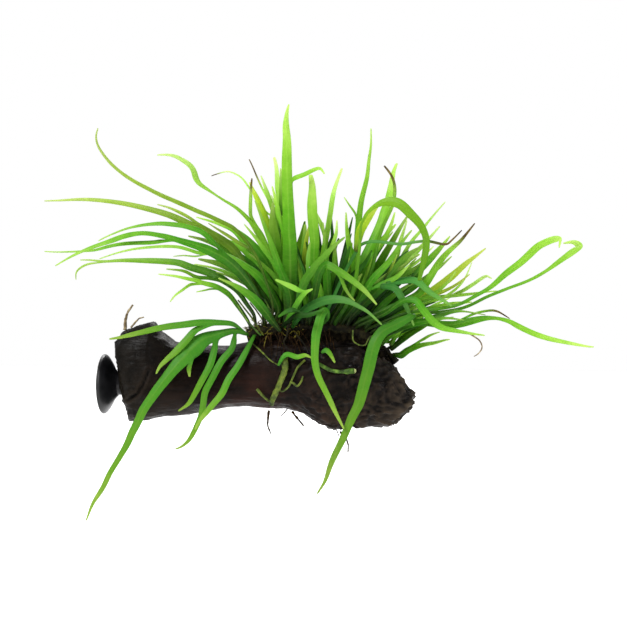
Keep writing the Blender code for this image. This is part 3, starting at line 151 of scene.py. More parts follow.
# Each frond: rhizome, foot as (x, degrees towards the back), depths at equal shares of
# its length, twist in degrees at its tip, and its blades. A blade is the number of the
# blade that it grows from, how far its tip leans back from that one, its widths at equal
# shares of its length and its route (u, v).
MAIN, BACK = "rhizome_main", "rhizome_back"
FRONDS = {
    "hanging_1": (MAIN, (76, -78), (-12, -22, -25, -27, -29, -30), 15, (
        (None, 0, (1.2, 3.2, 8.5, 5, 4, 3.5, 2.6, 2.4, .6), ((70.5, 25.2), (66, 26.6),
         (60, 25.6), (50.5, 22.6), (43.5, 17.3), (38.5, 12), (32.5, 5), (27.5, -1.5), (20, -12),
         (17.3, -18), (14, -24), (11, -31), (3.7, -43), (-.5, -51.5), (-5.5, -59.5),
         (-9, -68.5))),
        (0, -15, (1.6, 2.4, 3.2, 3.3, 3, 2.4, .8), ((69.5, 25.7), (64.5, 30), (55.5, 30.9),
         (45.5, 30.6), (28, 28.2), (18, 25.8), (8, 23.4), (2.5, 22.5))),
        (1, -9, (2, 3, 3.4, 3, 2, .7), ((52, 30.3), (45.5, 26.8), (41.5, 22.5), (35.5, 16),
         (32, 13), (28, 9), (26, 5))),
        (0, 1, (2.6, 2.4, .8), ((41.5, 13.5), (42.3, 8), (42.8, 3.5))),
        (0, -1, (2.8, 3, 2.8, 2.4, .8), ((56, 21), (54.5, 14.5), (53, 9.5), (49.5, 3),
         (45.5, -4.5), (42, -10), (37, -13.5))),
        (0, -7, (2.4, 3, 3, 2.7, 2.3, .7), ((65.5, 24.5), (64, 18), (59, 12), (54, 3),
         (50.5, -4), (49.5, -10.5), (48, -17), (44.5, -24.5), (42, -28.5), (38.5, -31.5),
         (35.5, -32.5))),
    )),
    "hanging_2": (MAIN, (79, -86), (-18, -23, -25, -27), 10, (
        (None, 0, (1.2, 2.6, 3, 3, 2.6, .7), ((74, 22), (70, 14.5), (66.5, 8.5), (62, 2),
         (59, -4.5), (55, -9.5), (48, -18), (45.5, -23))),
    )),
    "hanging_3": (MAIN, (110, -80), (-18, -24, -26, -28), -10, (
        (None, 0, (1.2, 1.4, 3.4, 3.9, 3.2, 2.7, 2.3, .7), ((111.5, 32), (112, 35.5),
         (110.8, 37), (108.8, 35), (107.3, 30), (106, 24.5), (105.5, 17), (105.5, 11),
         (107, 4.5), (110, -2), (113, -8), (116, -14.5), (120, -22.5))),
    )),
    "hanging_4": (MAIN, (137, -60), (-14, -22, -25, -27, -29), 12, (
        (None, 0, (1.2, 1.3, 3, 5, 5.2, 4.6, 3.4, 2.6, .7), ((145, 30), (154, 34.5), (152, 33),
         (145.5, 29.5), (139.5, 26.5), (136, 22), (134, 16), (132.5, 9.5), (129, -4),
         (127, -10.5), (124, -16.5), (119, -28), (113.5, -39.5), (110.5, -48.5), (106.5, -55))),
    )),
    "left_1": (MAIN, (87, -30), (-8, -14, -24), 25, (
        (None, 0, (1.2, 1.1, 1.4, 2.1, 2.3, 2, 1.5, .5), ((84.5, 38), (81.5, 50), (75, 66),
         (65.5, 77.5), (58, 81.5), (50.5, 85), (35.5, 91.5), (20.5, 98.5), (7, 107),
         (-1.5, 116.5), (-4, 123), (-3, 128))),
        (0, 4, (1.4, 1.8, 1.5, .5), ((74, 67), (67, 71), (60, 75.5), (52, 80.5))),
    )),
    "left_2": (MAIN, (83, 25), (4, 12, 22), -20, (
        (None, 0, (1.2, 2.2, 3.8, 3.6, 2.8, 2.2, 1.6, .5), ((79.5, 38), (76.5, 46), (66, 66),
         (53, 75.5), (45.5, 78.5), (34, 84), (20.5, 88), (5.5, 91), (-9.5, 92.3), (-22, 91.8),
         (-30, 91.5))),
        (0, 3, (1.3, 1.5, .5), ((50, 77), (43, 83), (33.5, 87.8), (26.5, 89.8))),
    )),
    "left_3": (MAIN, (84, -60), (-16, -28, -38), 20, (
        (None, 0, (1.2, 2.4, 4.6, 4.8, 3, 2.2, 2.7, 1.6, .5), ((80, 35), (76, 45), (64, 60),
         (50, 68), (35.5, 72.5), (28, 74.5), (20.5, 75.5), (14, 75), (9, 73.8), (4, 71.8),
         (-6, 68.5), (-16, 64), (-24.5, 59))),
        (0, 5, (2, 2.5, 2.3, 1.2, .5), ((60, 64), (50.5, 75), (43, 78.3), (35.5, 79.8),
         (27, 80.3), (14, 78.5), (3, 74.5), (-3, 71.5))),
        (0, -8, (1.8, 1.9, 1.6, .9, .4), ((33, 73), (25.5, 71), (10.5, 70.3), (3, 69),
         (-4.5, 67), (-12, 66.3), (-24, 66), (-30, 66.3))),
    )),
    "left_4": (MAIN, (80, 30), (8, 14, 18), -15, (
        (None, 0, (1.2, 2, 3.8, 3.2, 2.6, 1.4, .5), ((75, 34.5), (71, 40.5), (66, 47.5),
         (57.5, 53.5), (50.5, 56.5), (43, 58.5), (35.5, 61), (18, 61.8), (8, 61.8), (.5, 61.3),
         (-7, 62), (-12, 62))),
        (0, 3, (1, 1, .4), ((-1, 61.5), (-8, 60), (-12, 58), (-14, 55.5), (-14, 52))),
        (0, -3, (1.8, 1.8, 1.4, .5), ((57, 53.5), (47, 53.3), (40, 56.5), (31, 57.5))),
    )),
    "left_5": (MAIN, (88, -15), (-6, -8, -12), 30, (
        (None, 0, (1.4, 3.6, 4.4, 3.6, 2, .8), ((87, 38), (79, 52), (68, 61), (55.5, 67),
         (45.5, 70.5))),
        (0, -2, (1.5, 1.7, 1.6, 1.2, .4), ((59, 65.5), (48, 65.5), (43, 67), (35.5, 68.8),
         (20.5, 68.3), (8, 66), (-2.5, 62.5))),
        (1, 3, (.9, .8, .4), ((50, 65.5), (46, 63.8), (40, 64.3), (34.5, 63.8))),
    )),
    "left_6": (MAIN, (91, -8), (-2, -5, -10), 10, (
        (None, 0, (1.2, 1.6, 2, 2.3, 1.7, .9, 2.7, 2.2, .6), ((88, 50), (80, 72), (74, 80.5),
         (67, 87.5), (59, 92.5), (51.5, 97.5), (48, 100), (46, 103), (45, 106.5), (43, 109.5),
         (39.5, 112), (35.5, 114), (31, 114.7), (26.5, 114.5))),
        (0, -5, (1.3, 1.6, 1.5, .6), ((75.5, 79), (73.3, 84), (73.5, 97.5), (74, 103))),
    )),
    "left_7": (BACK, (89, -10), (8, 14, 26), 20, (
        (None, 0, (1.1, 1.6, 2.1, 1.7, 1, .5), ((88, 65), (84.5, 86.5), (79, 98), (76.5, 103.5),
         (74, 109.5), (72.5, 112.5))),
        (0, 8, (.9, 1, .9, .7, .4), ((85, 83.5), (81, 86), (78.5, 90), (73, 97.5), (69.5, 102.5),
         (66, 105), (62, 106.3), (58, 105.5), (53.5, 104))),
    )),
    "left_8": (BACK, (92, 20), (12, 14, 18), -15, (
        (None, 0, (1.3, 2.6, 3.4, 3.2, 2.6, 1.2), ((90, 60), (88.5, 89.5), (87, 97),
         (86.5, 104.5), (86, 109.5), (85, 113.5))),
    )),
    "left_9": (MAIN, (77.5, -50), (-12, -18, -26), 15, (
        (None, 0, (1.1, 1.8, 2.6, 2.4, 1.6, .5), ((72, 31.5), (67, 39), (62.3, 45), (56, 49),
         (50.5, 50.3), (45.5, 52), (40.5, 53), (35.5, 54), (27, 55))),
        (0, 3, (1.5, 1.3, .5), ((48, 51.3), (43, 49.8), (39.5, 47.2), (35.5, 44.3), (33, 41))),
        (0, 3, (1.1, .5), ((56.5, 48.5), (51, 47), (46, 46))),
    )),
    "left_10": (MAIN, (90, 30), (6, 10, 14), -25, (
        (None, 0, (1.4, 3.4, 4, 3.4, 1.8, .7), ((91.5, 39.5), (83, 49.5), (75.5, 61), (68, 68.5),
         (59, 72.5), (49, 75.5))),
        (0, -3, (1.6, 2, 1.5, .5), ((75, 61.5), (66.5, 75), (57.5, 80), (46, 83.5))),
    )),
    "top_1": (MAIN, (95, -25), (-7, -10, -14), 12, (
        (None, 0, (1.8, 6.2, 6.6, 6, 5, 4.6, 4.2, 3, .6), ((93, 47), (93, 67), (92.5, 79.5),
         (92, 92), (91.5, 104.5), (91.5, 122), (91, 129.5), (91.5, 136), (92.5, 140))),
        (0, -6, (2.2, 2, 1.5, .6), ((92, 102), (98, 104), (101.5, 105.5), (104.5, 107),
         (108, 107.8), (110.3, 105))),
        (0, -3, (2, 2.4, 1.8, .6), ((91, 76), (87.5, 84), (86, 92), (84, 99))),
    )),
    "top_2": (MAIN, (104, -10), (-3, -6, -8), -20, (
        (None, 0, (1.6, 3.2, 3.8, 4.4, 4.4, 1.8), ((105, 50), (105, 63), (105.2, 71.5),
         (104.8, 77), (104, 85.3), (104, 93.7), (104, 99.2), (103.2, 104.8))),
    )),
    "top_3": (BACK, (100, 0), (10, 11, 12), 20, (
        (None, 0, (1.8, 4.2, 4.4, 3, .9), ((98, 50), (97.5, 67), (99, 74.5), (100.5, 81.5))),
        (0, -3, (2, 2.4, .8), ((96, 62), (94.5, 70), (95, 78))),
    )),
    "top_4": (MAIN, (108, 20), (2, 4, 10), -15, (
        (None, 0, (1.4, 2, 2.5, 2.4, 2.2, 1), ((108, 50), (109.5, 64), (113, 84.5), (114, 92),
         (115.5, 98.5), (119, 108))),
        (0, -4, (1.6, 2, 1.6, .6), ((110, 61), (113.5, 68), (116, 75), (116.5, 82))),
        (0, -3, (1.6, 2, 1.5, .6), ((111.3, 74.5), (108.8, 79.5), (106.5, 84), (104.5, 88.5))),
    )),
    "top_5": (MAIN, (116, -15), (-6, -10, -16), 18, (
        (None, 0, (1.4, 3, 3.2, 2.8, 2.2, 1.4, .5), ((124, 50), (126.5, 67), (127, 76),
         (128.5, 90.5), (131.5, 103), (132.5, 112), (133.5, 119.5), (133.5, 128))),
        (0, 5, (2, 2.6, 1.6, .6), ((125.5, 60), (122.5, 70), (121.3, 79.5), (121, 86))),
        (0, -5, (1.1, .9, .4), ((127.5, 83), (123, 89), (120, 93.5))),
    )),
    "top_6": (MAIN, (120, 35), (6, 12, 24), -20, (
        (None, 0, (1.4, 4.6, 5, 4.6, 3.9, 3, 1.2), ((126, 50), (129, 59.5), (132, 66),
         (135, 72.5), (138, 79.2), (140.2, 87), (142.2, 92.6), (143.2, 97.5), (143.8, 101.5),
         (144.8, 106.5), (146.5, 110.5))),
        (0, -5, (2, 2.8, 2, .6), ((132, 63), (137.5, 69), (142.5, 77), (145.5, 86))),
    )),
    "top_7": (MAIN, (124, -45), (-12, -17, -24), 10, (
        (None, 0, (1.2, 1.5, 1.6, 1.5, 1.4, .8), ((133, 55), (137.5, 73), (140.5, 81),
         (144.2, 89), (145.3, 94), (145.5, 98), (144.6, 102.5), (142.8, 105.8), (140, 109.2))),
    )),
    "top_8": (MAIN, (118, -50), (-14, -24, -32, -38), 20, (
        (None, 0, (1.4, 1.6, 1.6, 1.3, 1, 1.7, 4.2, 3.8, 2.8, 3, 1.6), ((124, 45), (127.5, 65),
         (128.3, 78), (129.8, 82.5), (132, 86), (135.2, 88.8), (139, 90.8), (143, 91.3),
         (147, 90.6), (150, 88.5), (153, 85.3), (156.3, 82), (159, 78.3), (161, 73), (161, 68),
         (160, 63), (159, 58), (157.5, 51.5))),
    )),
    "top_9": (MAIN, (128, 10), (1, 6, 14), -20, (
        (None, 0, (1.2, 2, 2, 1.5, .5), ((141, 50), (147, 60), (153, 70.3), (159.1, 77.5),
         (164.7, 84.3), (170.8, 91.3))),
        (0, -6, (1.6, 1.9, 1.5, .6), ((147, 60.5), (147.5, 69), (149.5, 75.5), (151.5, 82))),
        (0, 4, (1.6, 2, 1.4, .5), ((141, 49), (149, 56), (157, 61.5), (165, 69))),
    )),
    "top_10": (MAIN, (112, -62), (-16, -24, -32), 10, (
        (None, 0, (1.2, 1.4, 1.4, 1.3, 1.2, .5), ((120, 55), (126, 66), (129, 70), (135.5, 71.3),
         (148, 70), (155.5, 71), (162, 71.5), (170.5, 69.8), (174, 72), (179, 77))),
    )),
    "top_11": (MAIN, (93, -45), (-12, -18, -28), 20, (
        (None, 0, (1.4, 3.6, 3.8, 2.8, 1.8, .7), ((93.5, 42), (88, 58), (83, 72), (78.5, 84),
         (75.5, 92))),
        (0, 3, (1.6, 2.2, 1.6, .5), ((88, 59), (81, 66), (76, 73), (70, 80))),
    )),
    "right_1": (MAIN, (126, -20), (-8, -14, -22), 15, (
        (None, 0, (1.2, 2, 3, 3.2, 2.8, 1.7, .5), ((140, 37), (155.5, 44), (160.5, 49.5),
         (165.8, 58.1), (169.5, 63.3), (173.7, 67.6), (178, 71.3), (181.3, 75.2),
         (185.5, 80.5))),
        (0, 5, (1.6, 2, 1.4, .5), ((153, 42.5), (163.5, 44.5), (170.5, 49.5), (176, 56.5))),
    )),
    "right_2": (MAIN, (130, 20), (4, 10, 16), -15, (
        (None, 0, (1.2, 1.8, 2.6, 3.2, 3.8, 2.6, .6), ((148, 38), (160, 44.5), (168, 49.5),
         (172, 52.5), (176, 56), (180.5, 60), (184.5, 63), (191, 68))),
        (0, -3, (1.4, 1.8, 1.3, .5), ((160, 43.5), (167, 45.3), (175, 49), (183, 55))),
    )),
    "right_3": (BACK, (127, -10), (12, 18, 26), 15, (
        (None, 0, (1.2, 1.6, 1.4, 1.2, .4), ((150, 37), (168, 42.5), (174, 46), (177, 48.5),
         (180, 52), (182, 56), (184, 61))),
        (0, -7, (1.2, 1.7, 1.5, .5), ((171, 44), (178, 46), (182, 48.3), (185.5, 50.5),
         (189, 53), (191.5, 54), (194, 52.5))),
    )),
    "right_4": (MAIN, (132, -35), (-12, -20, -32), 20, (
        (None, 0, (1.2, 1.3, 1.3, 1.4, 1.6, 2.7, 3.1, 2.7, .5), ((150, 35), (170, 38), (178, 40),
         (185.5, 44), (193.5, 48.6), (200.6, 55), (208.6, 61), (216.5, 68.4), (221, 70.9),
         (224.8, 72.4), (228, 72.3), (227.5, 68))),
    )),
    "right_5": (MAIN, (134, 25), (6, 14, 28), -20, (
        (None, 0, (1.2, 1.5, 1.5, 1.5, 1.5, 1.5, 1.5, 1.7, 3.4, 3.2, .6), ((152, 34),
         (172, 36.5), (182, 39), (192, 43.9), (201.8, 47.8), (211.8, 51.6), (220.2, 56),
         (227.6, 61.5), (234.4, 66.3), (237.5, 69), (234.5, 71), (229.5, 70.3))),
    )),
    "right_6": (BACK, (122, 10), (14, 24, 36), 15, (
        (None, 0, (1.2, 1.7, 2, 1.6, .5), ((145, 38), (160, 42), (168, 43.5), (183, 45),
         (190.5, 46), (197, 46.5))),
    )),
    "right_7": (MAIN, (124, 5), (-2, -6, -9), 25, (
        (None, 0, (1.4, 3.4, 4, 3.4, 2, .7), ((131, 41), (140, 49.5), (148, 53.5), (156, 58),
         (163, 64))),
        (0, 7, (2, 3.2, 2.6, .7), ((140, 49), (146.5, 58.5), (152, 64.5), (159, 69))),
        (0, 5, (1.4, 1.6, 1.5, .5), ((150, 54.5), (157, 52.5), (160.5, 49.5), (164.5, 45.5),
         (170.5, 41.5), (175.5, 38))),
    )),
    "right_8": (MAIN, (137, -12), (-4, -9, -16), 12, (
        (None, 0, (1.4, 2.8, 3.4, 3.5, 3.3, 1.4, 2.4, 2.3, 1.6, .5), ((148, 29.5), (160.5, 31),
         (168, 29.8), (175.5, 29.8), (185.5, 32), (190.5, 33), (195.5, 33), (199.5, 32.3),
         (203.5, 31), (207, 29), (215.5, 25), (225.5, 22), (240.5, 19), (245, 18.5))),
        (0, 3, (1.2, 1.1, 1, .4), ((178, 30.5), (183, 34.3), (189, 36.2), (196, 36.6),
         (203, 32.6))),
    )),
    "right_9": (MAIN, (128, -58), (-16, -22, -26), 15, (
        (None, 0, (1.2, 1.8, 2.4, 3, 3.2, 1.8, .5), ((140, 35), (149, 41.5), (155.5, 42),
         (158.5, 38.5), (162, 34), (165.5, 30.3), (169.5, 28), (174, 27), (182, 25.5),
         (190.5, 24.3))),
    )),
    "right_10": (BACK, (145.4, -25), (6, 12), -15, (
        (None, 0, (1.4, 3.3, 3.2, 2.4, 1.6, .6), ((148, 14.3), (151.5, 16.8), (155.5, 18.5),
         (160.5, 20), (165.5, 20.7), (170.5, 22), (173, 22.3))),
        (0, 3, (1.6, 1.4, .5), ((156, 18.8), (160.5, 23), (164.5, 25), (168, 26))),
    )),
    "right_11": (BACK, (142.5, 0), (8, 10, 16), -20, (
        (None, 0, (1.1, 1.3, 2.6, 2.5, 1.6, .5), ((145.5, 19.5), (149.3, 24.5), (154.5, 31),
         (160.5, 36.5), (166, 40), (173, 43))),
        (0, -3, (1.6, 2.2, 1.6, .5), ((154.5, 31), (161, 31.5), (167, 34.5), (176, 36))),
    )),
    "right_12": (BACK, (138.5, -20), (5, 4, 6), 15, (
        (None, 0, (1.1, 1.3, 2.3, 1.8, .5), ((143, 21), (147, 24.5), (153, 28), (160, 34.5),
         (166, 37))),
    )),
    "front_1": (MAIN, (106, -66), (-17, -24, -32), 15, (
        (None, 0, (1.6, 2.8, 3.3, 3.4, 3, 2.3, .7), ((105.5, 46), (107.5, 55), (110.5, 59.5),
         (114, 58.5), (120.5, 54.5), (126.5, 50), (131, 46), (136.5, 39.5))),
        (0, 3, (1.4, 1.5, .5), ((117.5, 56), (120.5, 48), (123, 44), (125.5, 41.5))),
    )),
    "front_2": (MAIN, (98, -58), (-14, -18, -24), -20, (
        (None, 0, (1.6, 3, 4, 3.8, 2.8, .9), ((99.5, 49.5), (104, 56.5), (109, 63),
         (115.5, 69.5), (120.5, 73.5))),
        (0, 4, (1.6, 2.2, .7), ((103, 55), (102, 63), (103, 71))),
    )),
    "front_3": (MAIN, (97, -84), (-20, -29, -36), 15, (
        (None, 0, (1.6, 3.2, 4, 4, 3.2, 1.8, 1.2, .7), ((99, 36), (105.5, 40), (110.5, 42),
         (116.5, 42.5), (122, 41.5), (127, 39), (132, 36), (139, 29.5))),
    )),
    "front_4": (MAIN, (93, -72), (-16, -22, -26), -12, (
        (None, 0, (1.4, 2.4, 2.6, 2.4, .8), ((94, 36), (98, 43), (101, 46), (104.5, 47.5))),
        (0, 3, (2, 2.4, .8), ((100, 45), (96, 47.6), (92, 49.5), (85.5, 52.3))),
    )),
    "front_5": (MAIN, (91, -88), (-20, -26, -28), 10, (
        (None, 0, (1.3, 2.4, 2.6, 2, .7), ((93, 32), (96, 34.5), (102, 34.5), (107, 36),
         (110.5, 38))),
        (0, 3, (1.6, 2.6, 2.3, .8), ((97.5, 34.6), (94.5, 37), (91, 36.3), (87, 33.5))),
    )),
    "inner_1": (BACK, (108, -15), (6, 4, 3), 25, (
        (None, 0, (1.8, 4, 4.2, 2.6, .8), ((109, 45), (111, 55), (114, 64), (117.5, 73))),
        (0, 3, (2, 2.6, 2, .7), ((108.5, 45), (106, 53), (103.5, 61), (102.5, 70))),
    )),
    "inner_2": (MAIN, (112, -28), (-9, -12, -12), -25, (
        (None, 0, (1.8, 3.8, 4.2, 2.6, .8), ((115, 42), (118, 52), (120.5, 60), (123, 69))),
        (0, -3, (2, 3, 2.2, .7), ((118, 50), (124, 54), (130, 60), (134, 67))),
    )),
    "inner_3": (BACK, (115, -10), (6, 8, 8), 20, (
        (None, 0, (1.5, 3.4, 4, 3, .8), ((118, 42), (124, 52), (131, 62), (139, 72), (146, 80))),
        (0, 4, (2, 2.6, 2, .6), ((121, 47), (121, 57), (122, 66), (121.5, 75))),
    )),
    "inner_4": (MAIN, (121, -30), (-12, -14, -18), -15, (
        (None, 0, (1.5, 3, 3.4, 2.4, .7), ((126, 40), (134, 52), (143, 62), (149, 71),
         (154, 77))),
        (0, -4, (1.8, 2.6, 2, .6), ((132, 48), (139, 50), (147, 54), (153, 60))),
    )),
}
# Small leaves on the wood: depth, twist and blade. Their tips lean forward.
SMALL_LEAF_LEAN = 3
SMALL_LEAVES = {
    "small_leaf_1": (-19.5, 10, (
        (None, 0, (1, 2.2, 2.2, 2, .7),
         ((87, 9), (89.5, 13.5), (92, 15), (96.5, 13.5), (100.5, 14.5), (104, 13))),)),
    "small_leaf_2": (-20.5, -10, (
        (None, 0, (1, 2.3, 2.4, 1.8, .7),
         ((108.5, 15.5), (111, 17), (113.5, 14.5), (115.5, 10.5))),)),
}


def smooth_curve(points):
    """Fine points of a smooth curve through points, and a length that counts bends too."""
    points = np.asarray(points, float)
    ends = np.vstack([2 * points[0] - points[1], points, 2 * points[-1] - points[-2]])
    fine = []
    for a, b, c, d in zip(ends, ends[1:], ends[2:], ends[3:]):
        for t in np.arange(0, 1, 0.05):
            fine.append(0.5 * (2 * b + (c - a) * t + (2 * a - 5 * b + 4 * c - d) * t ** 2
                               + (3 * b - a - 3 * c + d) * t ** 3))
    fine = np.array(fine + [points[-1]])
    pieces = np.diff(fine, axis=0)
    lengths = np.linalg.norm(pieces, axis=1)
    aims = pieces / np.maximum(lengths, 1e-9)[:, None]
    turns = np.arccos(np.clip((aims[1:] * aims[:-1]).sum(axis=1), -1, 1))
    return fine, np.append(0, np.cumsum(lengths + BEND_LENGTH * np.append(0, turns)))


def along_curve(fine, run, at):
    """Points of a fine curve at lengths along it."""
    return np.stack([np.interp(at, run, column) for column in fine.T], axis=1)


def smooth_line(points, step, least=2):
    """Points about a step apart, and closer at bends, on a smooth curve through points."""
    fine, run = smooth_curve(points)
    return along_curve(fine, run, np.linspace(0, run[-1], max(least, round(run[-1] / step)) + 1))


# Sight lines from the front viewer's eye

TO_EYE = Vector((sin(EYE_TURN) * cos(EYE_RISE), -cos(EYE_TURN) * cos(EYE_RISE), sin(EYE_RISE)))
EYE_RIGHT = Vector((cos(EYE_TURN), sin(EYE_TURN), 0))
EYE_UP = TO_EYE.cross(EYE_RIGHT)
EYE = PLANT_MIDDLE + TO_EYE * EYE_REACH


def seen_at(u, v, y):
    """The point at depth y on the sight line through the picture position (u, v)."""
    aim = PLANT_MIDDLE + EYE_RIGHT * (u - MIDDLE_U) + EYE_UP * (v - MIDDLE_V) - EYE
    return EYE + aim * ((y - EYE.y) / aim.y)


def picture_of(point):
    """The picture position (u, v) of a point."""
    ray = Vector(point) - EYE
    scale = EYE_REACH / -ray.dot(TO_EYE)
    return MIDDLE_U + ray.dot(EYE_RIGHT) * scale, MIDDLE_V + ray.dot(EYE_UP) * scale


# Driftwood

def wood_section(x):
    """Middle height, height above it, depth below it and half depth of the wood at x."""
    stations = np.array(WOOD)
    top, bottom, half = (np.interp(x, stations[:, 0], stations[:, k]) for k in (1, 2, 3))
    middle = (min(top, CREST_HEIGHT) + bottom) / 2
    return middle, top - middle, middle - bottom, half


def wood_lumps(x, angle):
    """How far the surface stands out or in, as a share of the section."""
    ridge = 0.035 * sin(3 * angle + 0.045 * x + 1.1) + 0.03 * sin(5 * angle - 0.07 * x)
    knot = 0.09 * np.exp(-((x - 140) / 9) ** 2 - ((angle - 3.9) / 0.5) ** 2)
    scar = -0.07 * np.exp(-((x - 112) / 6) ** 2 - ((angle - 4.4) / 0.5) ** 2)
    return ridge * abs(cos(angle)) + knot + scar


def wood_point(x, angle):
    """A point of the wood's surface. Angle 0 is the back, and a quarter turn is the top."""
    middle, above, below, half = wood_section(x)
    out = 1 + wood_lumps(x, angle)
    side, lift = cos(angle), sin(angle)
    wide = half * np.sign(side) * abs(side) ** SIDE_ROUNDNESS
    high = (above if lift > 0 else below) * np.sign(lift) * abs(lift) ** SIDE_ROUNDNESS
    return np.array([x, wide * out, middle + high * out])


def bulge(share):
    """How wide the section is, as a share of its half depth, at a share of its height."""
    return (1 - abs(share) ** (2 / SIDE_ROUNDNESS)) ** (SIDE_ROUNDNESS / 2)


def wood_front(x, z):
    """Depth of the wood's front surface at x and z, or None above and below the wood."""
    middle, above, below, half = wood_section(x)
    share = (z - middle) / (above if z > middle else below)
    return None if abs(share) >= 1 else -half * bulge(share)


def rhizome_axis(name):
    """Points of a creeping stem's axis, and its radius at each."""
    radius, route = RHIZOMES[name]
    axis = []
    for x, y, height in smooth_line(route, RHIZOME_STEP):
        middle, above, _, half = wood_section(x)
        top = middle + above * bulge(y / half)
        axis.append((*seen_at(x, top + height, 0).xz, y))
    axis = np.array(axis)[:, [0, 2, 1]]
    share = np.linspace(0, 1, len(axis))
    tip = np.maximum(0, share - 0.85) / 0.15
    swell = 0.85 + 0.12 * np.sin(share * RHIZOME_KNOBS) - 0.35 * tip
    return axis, radius * swell


def foot_of(name, x, degrees, gap=FOOT_GAP):
    """Where a frond's stalk leaves a creeping stem."""
    axis, radii = rhizome_axis(name)
    centre = np.array([x, *(np.interp(x, axis[:, 0], axis[:, k]) for k in (1, 2))])
    ahead = np.array([x + 1, *(np.interp(x + 1, axis[:, 0], axis[:, k]) for k in (1, 2))])
    along = (ahead - centre) / np.linalg.norm(ahead - centre)
    out = np.array([0, sin(radians(degrees)), cos(radians(degrees))])
    out -= along * out.dot(along)
    out /= np.linalg.norm(out)
    return centre + out * (np.interp(x, axis[:, 0], radii) + gap)


def in_front_of_wood(route, radius, gap=0.45):
    """Points along a route that lies on the front of the wood."""
    path = []
    for u, v in smooth_line(route, STEM_STEP):
        near = seen_at(u, v, -WOOD_HALF_DEPTH)
        face = wood_front(near.x, near.z) or -UNDERSIDE_DEPTH
        path.append(seen_at(u, v, face * LUMP_ALLOWANCE - radius - gap))
    return path


# Leaves

class Blade:
    """One blade's points in the picture, its depths, its widths and what it grows from."""

    def __init__(self, parent, widths, route, step, least):
        self.parent, self.widths = parent, widths
        self.fine, self.run = smooth_curve(route)
        self.at = np.linspace(0, self.run[-1], max(least, round(self.run[-1] / step)) + 1)
        self.sides = []

    def width_at(self, run):
        even = np.linspace(0, 1, len(self.widths))
        return np.interp(run / self.run[-1], even, self.widths)

    def leave_room(self, lobe):
        """Puts a station on each side of the place where a lobe grows."""
        near = int(np.argmin(np.linalg.norm(self.fine - lobe.fine[0], axis=1)))
        own = self.fine[min(near + 5, len(self.fine) - 1)] - self.fine[max(near - 5, 0)]
        away = lobe.fine[10] - lobe.fine[0]
        turn = abs(np.cross(own, away)) / np.linalg.norm(own) / np.linalg.norm(away)
        half = lobe.widths[0] / 2 / max(turn, 0.4)
        middle = np.clip(self.run[near], half + 1, self.run[-1] - half - 1)
        self.sides += [middle - half, middle + half]
        clear = abs(self.at - middle) > half + 0.3 * (self.at[1] - self.at[0])
        clear[[0, -1]] = True
        self.at = self.at[clear]
        # The lobe's own stations start where its sheet is clear of this one.
        spots = along_curve(lobe.fine, lobe.run, lobe.at)
        ways = np.linalg.norm(spots[:, None] - self.fine[None], axis=2)
        widths = self.width_at(self.run[ways.argmin(axis=1)]) + 0.6 * lobe.width_at(lobe.at)
        free = ways.min(axis=1) > widths / 2
        free[0] = free[-2:] = True
        lobe.at = lobe.at[free]
        return middle

    def settle(self):
        """Works out the stations' places and widths."""
        self.at = np.sort(np.append(self.at, self.sides))
        self.line = along_curve(self.fine, self.run, self.at)
        self.share = self.at / self.run[-1]
        self.width = self.width_at(self.at)

    def depth_at_joint(self, stem):
        return stem.depth[self.joint:self.joint + 2].mean()


def blades_of(spec, start, depths, step):
    """The blades of a frond that starts at a point, or at its first route point if None."""
    blades = []
    for parent, _, widths, route in spec:
        if parent is None and start is not None:
            route = (picture_of(start), *route)
        blades.append(Blade(parent, widths, route, step, 4 if parent is None else 3))
    middles = [None if blade.parent is None else blades[blade.parent].leave_room(blade)
               for blade in blades]
    for blade, middle, (_, lean, _, _) in zip(blades, middles, spec):
        blade.settle()
        if middle is None:
            begin = depths[0] if start is None else start[1]
            knots = np.linspace(0, 1, len(depths) + 1)
            bend = smooth_line(np.stack([knots, (begin, *depths)], axis=1), 0.05, 24)
            blade.depth = np.interp(blade.share, bend[:, 0], bend[:, 1])
        else:
            stem = blades[blade.parent]
            blade.joint = int(np.searchsorted(stem.at, middle)) - 1
            blade.depth = blade.depth_at_joint(stem) + lean * blade.share
    return blades


